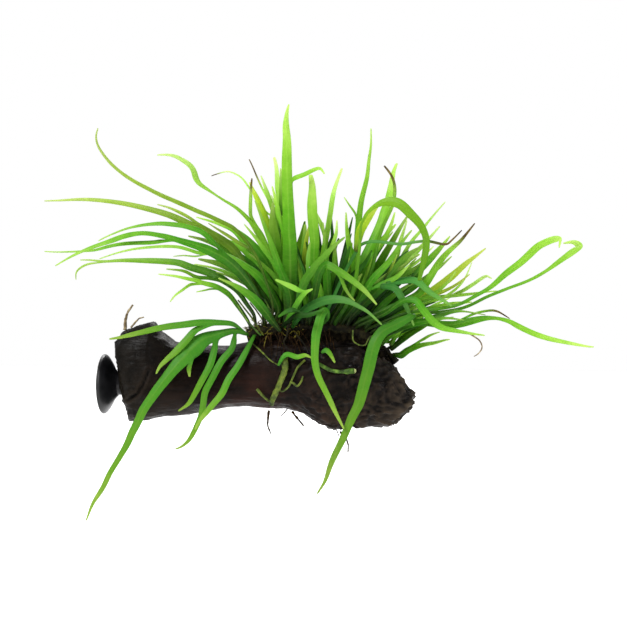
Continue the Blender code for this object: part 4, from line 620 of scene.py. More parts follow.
def keep_apart(fronds):
    """Moves blades in depth, where they cross in the picture, until none touches another."""
    flat = [blade for frond in fronds for blade in frond]
    sizes = [len(blade.line) for blade in flat]
    ends = np.cumsum([0] + sizes)
    owner = np.repeat([f for f, frond in enumerate(fronds) for _ in frond], sizes)
    number = np.repeat(np.arange(len(flat)), sizes)
    station = np.concatenate([np.arange(size) for size in sizes])
    spot = np.concatenate([blade.line for blade in flat])
    width = np.concatenate([blade.width for blade in flat])
    depth = np.concatenate([blade.depth for blade in flat])
    apart = np.linalg.norm(spot[:, None] - spot[None], axis=2)
    reach = (width[:, None] + width[None]) / 2 + LEAF_STEP * 0.5
    first, second = np.nonzero(np.triu((apart < reach) & (owner[:, None] != owner[None])))
    need = LEAF_CLEARANCE + LEAF_TILT * (width[first] + width[second]) / 2
    need = need * np.clip(1.5 - apart[first, second] / reach[first, second], 0.3, 1)
    # Two blades keep to one side of each other all the way, except beside their feet.
    pair = number[first] * len(flat) + number[second]
    gap = depth[first] - depth[second]
    side = np.where(np.bincount(pair, weights=gap)[pair] < 0, -1, 1)
    at_foot = np.minimum(station[first], station[second]) < 1
    side = np.where(at_foot & (gap != 0), np.sign(gap), side)
    rest = [blade.depth.copy() for blade in flat]
    for turn in range(ROUNDS):
        depth = np.concatenate([blade.depth for blade in flat])
        short = np.maximum(0, need - (depth[first] - depth[second]) * side) * side
        push = (np.bincount(first, weights=short / 2, minlength=len(depth))
                - np.bincount(second, weights=short / 2, minlength=len(depth)))
        count = (np.bincount(first, weights=short != 0, minlength=len(depth))
                 + np.bincount(second, weights=short != 0, minlength=len(depth)))
        push /= np.maximum(1, count)
        for blade, own, a, b in zip(flat, rest, ends, ends[1:]):
            spread = np.convolve(np.pad(push[a:b], 1, "edge"), (0.25, 0.5, 0.25), "valid")
            moved = blade.depth - own + spread * np.minimum(1, np.arange(b - a) / 1.5)
            even = (moved[:-2] + moved[2:]) / 2
            moved[1:-1] += (even - moved[1:-1]) * EVENNESS * (1 - turn / ROUNDS)
            if not blade.still:
                blade.depth = own + moved * HOLD
        for frond in fronds:
            for blade in frond:
                if blade.parent is not None and not blade.still:
                    blade.depth += blade.depth_at_joint(frond[blade.parent]) - blade.depth[0]
        for blade in flat:
            if blade.hangs and not blade.still:
                limits = [wood_limit(u, v) for u, v in blade.line]
                blade.depth = np.minimum(blade.depth, limits)


def wood_limit(u, v):
    """The depth in front of which a hanging leaf stays clear of the wood."""
    near = seen_at(u, v, -HANGING_DEPTH)
    middle, above, below, half = wood_section(near.x)
    reach = (above if near.z > middle else below) + WOOD_CLEARANCE
    share = (near.z - middle) / reach
    if abs(share) >= 1 or not WOOD[0][0] < near.x < WOOD[-1][0]:
        return HANGING_DEPTH
    return -(half * LUMP_ALLOWANCE + WOOD_CLEARANCE) * bulge(share)


def stations(blade, twist):
    """The points of a blade and, at each, the direction across it."""
    points = [seen_at(u, v, y) for (u, v), y in zip(blade.line, blade.depth)]
    across = []
    for k, point in enumerate(points):
        along = (points[min(k + 1, len(points) - 1)] - points[max(k - 1, 0)]).normalized()
        facing = (EYE - point).normalized() + Vector((0, 0, LEAF_TILT))
        axis = along.cross(facing).normalized()
        turn = radians(twist) * blade.share[k]
        axis = (axis * cos(turn) + along.cross(axis) * sin(turn)).normalized()
        across.append(-axis if across and axis.dot(across[-1]) < 0 else axis)
    ends = [across[0], *across, across[-1]]
    return points, [(a + b * 2 + c).normalized() for a, b, c in zip(ends, ends[1:], ends[2:])]


# Camera, floor and light

SENSOR = 36.0
PICTURE_WIDTH = 313.5
FLOOR_HEIGHT = -110.0
FLOOR_SIZE = 2.4
# The white studio walls, as light: how bright they are below and above the plant
LOW_LIGHT, HIGH_LIGHT = 0.28, 1.0
# Lamps: place and size in metres, and watts
LAMPS = (
    ("key", (-0.55, -0.8, 0.95), 0.55, 22),
    ("fill", (0.95, -0.55, 0.45), 0.7, 7),
    ("back", (0.2, 0.9, 0.9), 0.8, 12),
)


def make_camera():
    """The front viewer's camera."""
    camera = bpy.data.objects.new("camera", bpy.data.cameras.new("camera"))
    camera.data.sensor_width = SENSOR
    camera.data.lens = SENSOR * EYE_REACH / PICTURE_WIDTH
    camera.location = EYE * MM
    camera.rotation_euler = TO_EYE.to_track_quat("Z", "Y").to_euler()
    camera.data.clip_start, camera.data.clip_end = 0.01, 20
    bpy.context.scene.collection.objects.link(camera)
    bpy.context.scene.camera = camera


def make_lamp(name, place, size, watts):
    """A round white studio lamp that points at the middle of the plant."""
    light = bpy.data.objects.new(name, bpy.data.lights.new(name, "AREA"))
    light.data.shape, light.data.size, light.data.energy = "DISK", size, watts
    light.location = place
    light.rotation_euler = (Vector(place) - PLANT_MIDDLE * MM).to_track_quat("Z", "Y").to_euler()
    bpy.context.scene.collection.objects.link(light)


def make_studio():
    """Camera, white walls as light, three lamps and a floor of white paper."""
    make_camera()
    world = bpy.data.worlds.new("studio")
    world.use_nodes = True
    tree = world.node_tree
    height = add(tree, "SeparateXYZ", [add(tree, "TexCoord", out="Generated")], out="Z")
    soft = add(tree, "MapRange", {"Value": height, "From Min": -0.3, "From Max": 0.9,
                                  "To Min": LOW_LIGHT, "To Max": HIGH_LIGHT})
    seen = add(tree, "LightPath", out="Is Camera Ray")
    strength = add(tree, "MapRange", {"Value": seen, "To Min": soft, "To Max": 1.0})
    fill(tree, tree.nodes["Background"], {"Color": (1, 1, 1, 1), "Strength": strength})
    bpy.context.scene.world = world
    for lamp in LAMPS:
        make_lamp(*lamp)
    bm = bmesh.new()
    bmesh.ops.create_grid(bm, x_segments=1, y_segments=1, size=FLOOR_SIZE / 2)
    bmesh.ops.translate(bm, vec=(0, 0, FLOOR_HEIGHT * MM), verts=bm.verts)
    mesh = bpy.data.meshes.new("floor")
    bm.to_mesh(mesh)
    bm.free()
    floor = bpy.data.objects.new("floor", mesh)
    bpy.context.scene.collection.objects.link(floor)
    paper, tree, shader = new_material("white_paper_floor")
    fill(tree, shader, {"Base Color": (1, 1, 1, 1), "Roughness": 0.9})
    mesh.materials.append(paper)


# Materials

def colour(code):
    """The linear colour, with alpha, of an sRGB hex code."""
    shares = [int(code[k:k + 2], 16) / 255 for k in (1, 3, 5)]
    return (*(s / 12.92 if s <= 0.04045 else ((s + 0.055) / 1.055) ** 2.4 for s in shares), 1)


def fill(tree, node, inputs):
    """Gives a node's inputs, by name or in order, their values or their links."""
    for socket, value in inputs.items() if isinstance(inputs, dict) else enumerate(inputs):
        if isinstance(value, bpy.types.NodeSocket):
            tree.links.new(value, node.inputs[socket])
        else:
            node.inputs[socket].default_value = value


def add(tree, kind, inputs=(), out=0, stops=(), **settings):
    """Adds a node with its settings, inputs and colour stops, and returns one output."""
    made = tree.nodes.new("ShaderNode" + kind)
    for key, value in settings.items():
        setattr(made, key, value)
    fill(tree, made, inputs)
    for k, (place, code) in enumerate(stops):
        if k > 1:
            made.color_ramp.elements.new(place)
        made.color_ramp.elements[k].position = place
        made.color_ramp.elements[k].color = colour(code)
    return made.outputs[out]


def new_material(name):
    """A material with its node tree and its shader."""
    made = bpy.data.materials.new(name)
    made.use_nodes = True
    return made, made.node_tree, made.node_tree.nodes["Principled BSDF"]


# Leaf patterns in mm
VEIN_SPACING = 2.6
PATCH_WIDTH = 5.0
GRAIN_WIDTH = 0.7
# How far patches shift the colour towards the tip's, how a leaf's tone and its grain change
# its brightness, how much the painted shade inside the tuft takes away, and how much light passes
# through
PATCH_SHIFT = 0.26
TONE_LOWEST, TONE_RANGE = 0.86, 0.44
GRAIN_BRIGHTNESS = 0.16
PAINTED_SHADE_DARKNESS = 0.82
LIGHT_THROUGH = 0.3
# Colours of each look, from the stalk to the tip. The near-black stalk ends are partly the
# stalks' own dark colour and partly painted shade at the base of the tuft, and the 'dark' look
# is painted shade for low leaves deep in the tuft
LOOKS = {
    "deep": ("#0d1202", "#163a02", "#306c0a", "#588a20", "#84a244"),
    "mid": ("#121604", "#1f4c02", "#427a0e", "#6c9828", "#94b052"),
    "fresh": ("#222808", "#3c7408", "#62921c", "#7ea63e", "#a6bc6e"),
    "hanging": ("#2a6010", "#347418", "#42801c", "#5e8c20", "#86a23e"),
    "front": ("#265210", "#2e6612", "#447c1a", "#5c9226", "#7ca23e"),
    "arch": ("#102c04", "#3a6c10", "#648e18", "#527c10", "#46700c"),
    "yellow": ("#384a0c", "#5e8010", "#80a01a", "#94ac2e", "#aebc54"),
    "bluish": ("#245618", "#2c6824", "#3e782e", "#508434", "#6c9a40"),
    "olive": ("#1c2206", "#2e500c", "#5c7c18", "#7e9834", "#9aac5c"),
    "dark": ("#020401", "#061402", "#0f2c03", "#1c4808", "#2e5c10"),
}


def leaf_material(name, codes):
    """Living fern leaf: thin green tissue with a waxy skin, so soft gloss and light through it.

    Colours run from the stalk to the tip, the near-black stalk end partly painted shade, with a
    pale midrib, side veins 2.6 mm apart, cloudy patches 5 mm wide and fine grain 0.7 mm wide.
    Dried parts turn brown, and the bases inside the tuft are darkened with painted shade.
    """
    made, tree, shader = new_material(name)
    along, across, span, dry, tone, shade = (
        add(tree, "Attribute", out="Fac", attribute_name=key)
        for key in ("along", "across", "span", "dry", "tone", "shade"))
    place = add(tree, "TexCoord", out="Object")
    patches, grain = (
        add(tree, "TexNoise", {"Vector": place, "Scale": 1 / (width * MM), "Detail": detail})
        for width, detail in ((PATCH_WIDTH, 3), (GRAIN_WIDTH, 2)))
    shifted = add(tree, "Math", (patches, PATCH_SHIFT, along), operation="MULTIPLY_ADD")
    shifted = add(tree, "Math", (shifted, PATCH_SHIFT / 2), operation="SUBTRACT")
    body = add(tree, "ValToRGB", [shifted], stops=zip((0, 0.18, 0.48, 0.78, 1), codes))
    # The midrib, and side veins that lean towards the tip
    edge = add(tree, "Math", [across], operation="ABSOLUTE")
    rib = add(tree, "MapRange", {"Value": edge, "From Min": 0.05, "From Max": 0.2,
                                 "To Min": 1, "To Max": 0})
    wave = add(tree, "Math", (edge, -1.2, span), operation="MULTIPLY_ADD")
    wave = add(tree, "Math", (wave, 2 * pi / VEIN_SPACING), operation="MULTIPLY")
    wave = add(tree, "Math", [wave], operation="SINE")
    veins = add(tree, "MapRange", {"Value": wave, "From Min": 0.6, "From Max": 1})
    lines = add(tree, "Math", (veins, 0.3, rib), operation="MULTIPLY_ADD")
    pale = add(tree, "Math", (lines, 0.1), operation="MULTIPLY")
    body = add(tree, "Mix", {"Factor": pale, "A": body, "B": colour(codes[4])},
               out="Result", data_type="RGBA")
    # How light the leaf is, and its dried ends
    bright = add(tree, "Math", (tone, TONE_RANGE, TONE_LOWEST), operation="MULTIPLY_ADD")
    bright = add(tree, "Math", (grain, GRAIN_BRIGHTNESS, bright), operation="MULTIPLY_ADD")
    # Painted shade: the leaf bases inside the tuft are darkened
    painted_shade = add(tree, "Math", (shade, -PAINTED_SHADE_DARKNESS, 1), operation="MULTIPLY_ADD")
    bright = add(tree, "Math", (bright, painted_shade), operation="MULTIPLY")
    body = add(tree, "HueSaturation", {"Value": bright, "Color": body})
    dried = add(tree, "ValToRGB", [patches],
                stops=((0.3, "#2c2412"), (0.55, "#5a4a20"), (0.75, "#8a7a34")))
    body = add(tree, "Mix", {"Factor": dry, "A": body, "B": dried}, out="Result",
               data_type="RGBA")
    rough = add(tree, "MapRange", {"Value": patches, "To Min": 0.34, "To Max": 0.56})
    height = add(tree, "Math", (grain, 0.22, lines), operation="MULTIPLY_ADD")
    bump = add(tree, "Bump", {"Height": height, "Strength": 0.35, "Distance": 0.15 * MM})
    fill(tree, shader, {"Base Color": body, "Roughness": rough, "Specular IOR Level": 0.12,
                        "Normal": bump})
    through = add(tree, "BsdfTranslucent", {"Color": body, "Normal": bump})
    both = add(tree, "MixShader", (LIGHT_THROUGH, shader.outputs[0], through))
    fill(tree, tree.nodes["Material Output"], {"Surface": both})
    return made


# Wood patterns in mm, and how far their noise is stretched along the wood
WOOD_LENGTH = 155.0
STREAK_WIDTH = 3.0
WOOD_GRAIN_WIDTH = 0.8
BLOTCH_WIDTH = 9.0
ALONG_WOOD = (0.16, 1, 1)
# Colours along the wood, where it lies low and where it stands out: the darker hollows and paler
# raised parts are partly the wood's own colour and partly painted shade and highlight
LOW_WOOD = ("#070603", "#080503", "#0a0402", "#080503", "#0b0806")
HIGH_WOOD = ("#1b1a12", "#251810", "#321a12", "#2b1f17", "#3a3127")
# Painted shade: heights between which the wood goes from its brightness low down to a darker top
# under the plant
UNSHADED_BELOW, SHADED_ABOVE = -14.0, 16.0
UNSHADED_BRIGHTNESS, TOP_SHADE_BRIGHTNESS = 1.1, 0.42


def wood_material():
    """Waterlogged bogwood: near-black heartwood, worn smooth, with a wet satin sheen.

    Colour runs from olive black at the sawn end through red brown to grey brown at the
    knotty end, in streaks 3 mm wide along the wood, with grain 0.8 mm wide. The folds that
    stand out are paler and the hollows darker, partly the wood's own colour and partly painted
    highlight and shade, and the top under the plant is darker with painted shade.
    """
    made, tree, shader = new_material("bogwood")
    place = add(tree, "TexCoord", out="Object")
    east, up = (add(tree, "SeparateXYZ", [place], out=axis) for axis in "XZ")
    share = add(tree, "MapRange", {"Value": east, "From Max": WOOD_LENGTH * MM})
    stretched = add(tree, "Mapping", {"Vector": place, "Scale": ALONG_WOOD})
    streaks, grain, spots = (
        add(tree, "TexNoise", {"Vector": where, "Scale": 1 / (width * MM), "Detail": detail,
                               "Distortion": bends})
        for where, width, detail, bends in (
            (stretched, STREAK_WIDTH, 4, 0.6), (stretched, WOOD_GRAIN_WIDTH, 3, 1.2),
            (place, BLOTCH_WIDTH, 3, 0)))
    low, high = (add(tree, "ValToRGB", [share], stops=zip((0, 0.25, 0.5, 0.75, 1), codes))
                 for codes in (LOW_WOOD, HIGH_WOOD))
    mixed = add(tree, "Math", (streaks, 0.6, spots), operation="MULTIPLY_ADD")
    # The relief colours the wood: hollows, pits and creases darker and raised folds paler, partly
    # painted shade and highlight
    relief = add(tree, "Attribute", out="Fac", attribute_name="relief")
    mixed = add(tree, "Math", (relief, 0.38, mixed), operation="MULTIPLY_ADD")
    factor = add(tree, "MapRange", {"Value": mixed, "From Min": 0.6, "From Max": 1.5})
    body = add(tree, "Mix", {"Factor": factor, "A": low, "B": high}, out="Result",
               data_type="RGBA")
    # Painted shade: darker on top under the plant, a little lighter low down
    top_shade = add(tree, "MapRange", {"Value": up, "From Min": UNSHADED_BELOW * MM,
                                  "From Max": SHADED_ABOVE * MM, "To Min": UNSHADED_BRIGHTNESS,
                                  "To Max": TOP_SHADE_BRIGHTNESS})
    body = add(tree, "HueSaturation", {"Value": top_shade, "Color": body})
    rough = add(tree, "MapRange", {"Value": spots, "From Min": 0.3, "From Max": 0.7,
                                   "To Min": 0.24, "To Max": 0.6})
    height = add(tree, "Math", (grain, 0.4, streaks), operation="MULTIPLY_ADD")
    bump = add(tree, "Bump", {"Height": height, "Strength": 0.8, "Distance": 0.6 * MM})
    fill(tree, shader, {"Base Color": body, "Roughness": rough, "Specular IOR Level": 0.06,
                        "Normal": bump})
    return made


DUST_WIDTH = 4.0
FIBRE_WIDTH = 0.5


def rubber_material():
    """Moulded black rubber: dark and smooth, with a dull gloss and a faint film of dust."""
    made, tree, shader = new_material("moulded_black_rubber")
    film = add(tree, "TexNoise", {"Vector": add(tree, "TexCoord", out="Object"),
                                  "Scale": 1 / (DUST_WIDTH * MM), "Detail": 4})
    body = add(tree, "ValToRGB", [film], stops=((0.3, "#060607"), (0.7, "#101012")))
    rough = add(tree, "MapRange", {"Value": film, "To Min": 0.25, "To Max": 0.42})
    bump = add(tree, "Bump", {"Height": film, "Strength": 0.1, "Distance": 0.1 * MM})
    fill(tree, shader, {"Base Color": body, "Roughness": rough, "Specular IOR Level": 0.3,
                        "Normal": bump})
    return made


def stem_material(name, blotch_width, codes, roughness, gloss):
    """Woody or corky stem tissue: matt, blotched, with fine fibres along it."""
    made, tree, shader = new_material(name)
    place = add(tree, "TexCoord", out="Object")
    blotch, fibre = (
        add(tree, "TexNoise", {"Vector": place, "Scale": 1 / (width * MM), "Detail": detail})
        for width, detail in ((blotch_width, 4), (FIBRE_WIDTH, 2)))
    body = add(tree, "ValToRGB", [blotch], stops=zip((0.32, 0.5, 0.68), codes))
    height = add(tree, "Math", (fibre, 0.5, blotch), operation="MULTIPLY_ADD")
    bump = add(tree, "Bump", {"Height": height, "Strength": 0.6, "Distance": 0.3 * MM})
    fill(tree, shader, {"Base Color": body, "Roughness": roughness,
                        "Specular IOR Level": gloss / 2, "Normal": bump})
    return made


# Pieces

def finish_mesh(bm, name, material, nodes):
    """Puts a bmesh in millimetres into the scene as a piece that may replace solids."""
    bmesh.ops.scale(bm, vec=(MM, MM, MM), verts=bm.verts)
    mesh = bpy.data.meshes.new(name)
    bm.to_mesh(mesh)
    bm.free()
    mesh.shade_smooth()
    mesh.materials.append(material)
    piece = bpy.data.objects.new(name, mesh)
    bpy.context.scene.collection.objects.link(piece)
    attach(piece, "root")
    if nodes:
        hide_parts(*nodes)
    return piece


# Leaves, as sheets with a wall and one level of subdivision

FINE_STEP = 2.8
DEPTH_ROUNDS = 14
CROSS_CUTS = 3
# A blade is drawn wider than its route's widths, because its edges curl and taper
FULLNESS = 1.2
# A stalk is thick for the first share of a frond's length, and the blade is thin
BLADE_WALL, STALK_WALL = 0.36, 1.6
STALK_SHARE = 0.3
STALK_THICKNESS = 0.75
ROOTED = 2.0
LEAF_VALUES = ("along", "across", "span", "dry", "tone", "half", "shade")
# A leaf's channel and the wave of its edges, as shares of its half width, and the waves in mm
CHANNEL_DEPTH, WAVE_HEIGHT = 0.16, 0.09
LONG_WAVE, SHORT_WAVE = 2.9, 1.7
# Painted shade on the leaf bases inside the tuft: heights where it starts to thin and ends,
# its ends in x, its front, and how gently it ends there
SHADE_FROM, SHADE_TO = 20.0, 46.0
SHADE_WEST, SHADE_EAST, SHADE_SIDE_FADE = 95.0, 139.0, 12.0
SHADE_FRONT, SHADE_FRONT_FADE = -16.0, 8.0


def smooth_depths(fine, coarse):
    """Gives fine blades the depths that keep_apart found for the coarse ones."""
    for new, old in zip(fine, coarse):
        depth = np.interp(new.at, old.at, old.depth)
        for _ in range(DEPTH_ROUNDS):
            depth[1:-1] = (depth[:-2] + 2 * depth[1:-1] + depth[2:]) / 4
        new.depth = depth
        if new.parent is not None:
            gap = new.depth_at_joint(fine[new.parent]) - depth[0]
            new.depth = depth + gap * (1 - new.share)


def grow_fine(bm, edge, points, axes, blade, tone, marks):
    """Extrudes an edge through the stations of a blade and returns the edges made."""
    made = [edge]
    for k, (point, axis) in enumerate(zip(points, axes)):
        old = sorted(edge.verts, key=lambda vert: axis.dot(vert.co))
        new = [g for g in bmesh.ops.extrude_edge_only(bm, edges=[edge])["geom"]
               if isinstance(g, bmesh.types.BMVert)]
        for side, vert in zip((-1, 1), old):
            twin = min(new, key=lambda v: (v.co - vert.co).length)
            new.remove(twin)
            mark(twin, point, axis, side, k + 1, blade, tone, marks)
        edge = next(e for e in twin.link_edges if len(e.link_faces) == 1
                    and not any(v in old for v in e.verts))
        made.append(edge)
    return made


def mark(vert, point, axis, side, k, blade, tone, marks):
    """Places one edge vertex of a blade and writes down where on the leaf it is."""
    vert.co = point + axis * side * blade.width[k] / 2 * FULLNESS
    share = blade.share[k]
    vert[marks["along"]] = blade.along + (1 - blade.along) * share
    vert[marks["across"]] = side
    vert[marks["span"]] = blade.span + share * blade.run[-1]
    vert[marks["dry"]] = max(0, min(1, (share - 1 + blade.dry) / max(blade.dry / 2, 0.01)))
    vert[marks["tone"]] = tone
    vert[marks["half"]] = blade.width[k] / 2 * FULLNESS
    vert[marks["up"]] = blade.normals[k]
    flat = min(1, max(0, share / STALK_SHARE)) if blade.parent is None else 1
    stalk = max(BLADE_WALL, STALK_THICKNESS * blade.width[k])
    wall = BLADE_WALL + (stalk - BLADE_WALL) * (1 - flat)
    vert[marks["wall"]][0] = min(1, wall / STALK_WALL)


def leaf_marks(bm):
    """The layers of a leaf mesh: values for its material, its upper side and its wall."""
    marks = {key: bm.verts.layers.float.new(key) for key in LEAF_VALUES}
    marks["up"] = bm.verts.layers.float_vector.new("up")
    marks["wall"] = bm.verts.layers.deform.verify()
    return marks


def fine_sheet(bm, marks, blades, twist, root, tone):
    """Adds the open sheet of one frond, with its values written at each vertex."""
    rungs = []
    for blade in blades:
        points, across = stations(blade, twist)
        ways = [points[min(k + 1, len(points) - 1)] - points[max(k - 1, 0)]
                for k in range(len(points))]
        blade.normals = [way.cross(axis).normalized() for way, axis in zip(ways, across)]
        if blade.parent is None:
            blade.along = blade.span = 0.0
            if root is not None:
                points[0] = root
            ends = [bm.verts.new(), bm.verts.new()]
            for side, vert in zip((-1, 1), ends):
                mark(vert, points[0], across[0], side, 0, blade, tone, marks)
            edge = bm.edges.new(ends)
        else:
            stem = blades[blade.parent]
            share = stem.share[blade.joint]
            blade.along = stem.along + (1 - stem.along) * share
            blade.span = stem.span + share * stem.run[-1]
            aim = points[1] - points[0]
            low, high = stem.sheet_edges[blade.joint:blade.joint + 2]
            sides = [e for v in low.verts for e in v.link_edges if e.other_vert(v) in high.verts]
            edge = max(sides, key=lambda e: (e.verts[0].co + e.verts[1].co).dot(aim))
        blade.sheet_edges = grow_fine(bm, edge, points[1:], across[1:], blade, tone, marks)
        rungs += blade.sheet_edges
    bmesh.ops.subdivide_edges(bm, edges=rungs, cuts=CROSS_CUTS, use_grid_fill=True)


def shade_at(place):
    """How much painted shade a leaf carries, from 0 to 1: most at its base, inside the tuft."""
    shares = ((SHADE_TO - place.z) / (SHADE_TO - SHADE_FROM),
              (place.x - SHADE_WEST) / SHADE_SIDE_FADE,
              (SHADE_EAST - place.x) / SHADE_SIDE_FADE,
              (place.y - SHADE_FRONT) / SHADE_FRONT_FADE)
    return float(np.prod(np.clip(shares, 0, 1)))


def lift_edges(bm, marks):
    """Makes a shallow channel of every sheet, with a slow wave along its edges."""
    for vert in bm.verts:
        across, half, span, tone = (vert[marks[key]]
                                    for key in ("across", "half", "span", "tone"))
        away = abs(across)
        # Painted shade for the leaf bases inside the tuft, read by the material
        vert[marks["shade"]] = shade_at(vert.co)
        wave = sin(span / LONG_WAVE + tone * 9) + 0.6 * sin(span / SHORT_WAVE + across * 2)
        lift = CHANNEL_DEPTH * away ** 1.5 + WAVE_HEIGHT * away ** 2 * wave
        vert.co += vert[marks["up"]] * half * lift


def make_leaves_piece(name, fronds, look, nodes):
    """One piece of one or more fronds, each given as blades, twist, root and tone."""
    bm = bmesh.new()
    marks = leaf_marks(bm)
    for frond in fronds:
        fine_sheet(bm, marks, *frond)
    lift_edges(bm, marks)
    bm.verts.layers.float_vector.remove(marks["up"])
    bmesh.ops.recalc_face_normals(bm, faces=bm.faces)
    leaf = finish_mesh(bm, name, MATERIALS[look], nodes)
    leaf.vertex_groups.new(name="wall")
    wall = leaf.modifiers.new("wall", "SOLIDIFY")
    wall.thickness, wall.offset, wall.vertex_group = STALK_WALL * MM, 0, "wall"
    round_off = leaf.modifiers.new("round", "SUBSURF")
    round_off.levels = round_off.render_levels = 1


FILLING_TWIST = 30
# Leaves that fill the tuft behind the larger fronds: look, depth at foot and tip, widths, route
FILLING = (
    ("mid", 6, 4, (3, 6.4, 7, 5.5, 3, .8),
     ((89, 42), (87.5, 56), (86, 66), (85, 75), (84.2, 84), (84.5, 91))),
    ("fresh", 9, 14, (1.5, 2.2, 2.4, 2, .5),
     ((88, 70), (86, 82), (82.2, 94.1), (80.3, 99.5), (78.4, 104.4))),
    ("fresh", 7, 10, (1.5, 1.8, 1.6, .5), ((89, 76), (87, 87), (85.4, 90.3), (83.5, 94.6))),
    ("yellow", 10, 14, (2, 2.8, 2.8, 2.6, .8),
     ((85.5, 72), (82, 80), (79, 88), (76, 94), (72.7, 101))),
    ("yellow", 5, 6, (2, 2.6, 2.6, 2, .7), ((99.5, 45), (100.3, 61), (101.1, 71.3), (102.8, 80))),
    ("dark", 12, 10, (3, 4, 4, 3, 1), ((108, 40), (110, 52), (112, 66), (114.5, 75))),
    ("yellow", -16, -30, (2, 3.4, 3.8, 3, 1),
     ((126, 66), (128, 76), (131, 81.5), (134.5, 86.5), (137.5, 90))),
    ("mid", 9, 12, (2.5, 4.4, 4.8, 3.6, 1),
     ((128, 42), (137.2, 50), (144.3, 55.7), (150.7, 61.3), (157.9, 65))),
    ("dark", -2, -4, (3, 4.8, 5, 3.6, 1), ((127, 34), (134, 42), (139.6, 47.7), (149.1, 53.3))),
    ("bluish", -14, -18, (2, 3, 3, 2, .7),
     ((141, 50), (154.7, 52), (162.7, 46), (169, 42), (174, 39))),
    ("bluish", -16, -14, (2, 3.4, 3.4, 2, .7),
     ((138, 49), (145.9, 47.7), (150.7, 39.7), (153.5, 33), (155, 29))),
    ("deep", 14, 18, (2, 3, 3, 2, .6), ((131, 30), (140, 44), (149, 55), (156.3, 63))),
    ("deep", 8, 10, (2.5, 4, 3.6, 1), ((97, 40), (99, 54), (100, 66), (100.6, 80))),
    ("mid", 10, 20, (2, 3.6, 3.6, 2.4, .6),
     ((124, 36), (133, 52), (141, 66), (148, 78), (153, 86))),
    ("fresh", 12, 22, (2, 3, 3, 2, .6), ((126, 36), (138, 50), (150, 60), (160, 70), (168, 79))),
    ("deep", 10, 16, (2, 3.6, 3.6, 2.4, .6),
     ((128, 30), (142, 40), (155, 49), (166, 57), (174, 64))),
    ("mid", 4, 8, (2, 3.4, 3.4, 2.2, .6), ((136, 26), (150, 33), (162, 37), (174, 40), (184, 41))),
    ("deep", -6, -12, (2, 3.4, 3.4, 2.4, 1.2, .4),
     ((138, 24), (150, 29), (160, 31.5), (170, 33), (180, 32))),
    ("mid", 2, 4, (2, 3, 3, 1.6, .5), ((143, 17), (150, 23), (158, 28.5), (166, 32), (175, 33.5))),
    ("fresh", -2, -2, (1.6, 2.2, 2.2, 1.4, .5), ((143, 19), (147, 26), (152, 33), (158, 40))),
    ("deep", 4, 10, (2, 4.6, 5, 4, 2, .7),
     ((86, 40), (78, 53), (69, 62), (60, 68), (50, 72), (42, 74))),
    ("deep", 8, 16, (2, 4.2, 4.4, 3.4, 2, .7), ((89, 44), (82, 60), (73, 71), (64, 78), (55, 83))),
    ("mid", 9, 14, (2, 3.6, 3.8, 3, .8), ((90, 46), (84, 62), (78, 74), (71, 84))),
    ("deep", 0, -4, (2, 4, 4.2, 3, .8), ((86, 36), (78, 48), (69, 55.5), (58, 60), (47, 62.5))),
    ("mid", 12, 18, (1.6, 2.6, 2.6, 1.8, .6),
     ((84, 36), (77, 46), (68, 53), (57, 57.5), (45, 60))),
    ("deep", -15, -20, (1.4, 3, 4.2, 4, 3, 1.6, .5),
     ((88.5, 26), (84, 31.5), (79.5, 37.5), (74, 43.5), (66, 49), (57, 53))),
    ("fresh", 12, 16, (1.4, 2.2, 2.3, 1.7, .6),
     ((88.6, 84), (88.7, 92), (88.7, 100), (88.3, 108))),
    ("mid", -9, -14, (2, 2.8, 3, 2, .6),
     ((152, 50), (157.5, 56.5), (163.5, 63), (169, 69), (173, 74))),
    ("deep", -2, -10, (1.2, 1.8, 2.6, 3, 2, .9, .3),
     ((138, 22), (150, 27), (160, 31.5), (168, 34.5), (178, 36.5), (191, 34.5))),
    ("olive", -9, -12, (.8, 1.2, 1, .5), ((140, 52), (143, 57), (145, 61), (146.5, 65))),
)
# A fan of short leaves at the middle of the tuft: their feet in x, how far they lean at its
# ends in degrees, how far single ones stray from that, and the ranges of their sizes
FAN_LEAVES = 84
FAN_SEED = 5
FAN_FROM, FAN_TO = 93.0, 139.0
FAN_LEFT, FAN_RIGHT, FAN_STRAY = -38.0, 60.0, 14.0
FAN_LENGTHS = 30, 58
FAN_BOWS = 4, 14
FAN_DEPTHS = -4, 13
FAN_WIDTHS = 2.6, 5.0
FAN_RISE = 4.5
FAN_POINTS = 0.0, 0.3, 0.6, 0.85, 1.0
# The 'dark' look, on two of every five fan leaves, is painted shade deep in the tuft
FAN_LOOKS = "dark", "deep", "dark", "mid", "deep"


def fan_spec(number, chance):
    """Look, depths, widths and route of one leaf of the fan."""
    share = (number + chance.uniform(-0.4, 0.4)) / FAN_LEAVES
    foot = FAN_FROM + (FAN_TO - FAN_FROM) * share
    middle, above, _, _ = wood_section(foot)
    side = abs(2 * share - 1)
    stray = chance.uniform(-FAN_STRAY, FAN_STRAY)
    lean = radians(FAN_LEFT + (FAN_RIGHT - FAN_LEFT) * share + stray)
    length = chance.uniform(*FAN_LENGTHS) * (1 - 0.25 * side - 0.22 * max(0, 2 * share - 1))
    rise = middle + above + FAN_RISE
    bow = chance.uniform(*FAN_BOWS) * sin(lean)
    route = []
    for t in FAN_POINTS:
        turned = lean * (0.55 + 0.45 * t)
        route.append((foot + length * t * sin(turned) + bow * t * t * 0.5,
                      rise + length * t * cos(turned)))
    depth = chance.uniform(*FAN_DEPTHS)
    width = chance.uniform(*FAN_WIDTHS) * (1 - 0.35 * side)
    tip_depth = depth + chance.uniform(-5, 9)
    widths = 0.5 * width, width, width, 0.6 * width, 0.5
    return FAN_LOOKS[number % len(FAN_LOOKS)], depth, tip_depth, widths, route


def spread_tone(number):
    """How light a leaf is within its look, spread evenly from 0 to 1 over the leaves."""
    return (number * 0.618) % 1


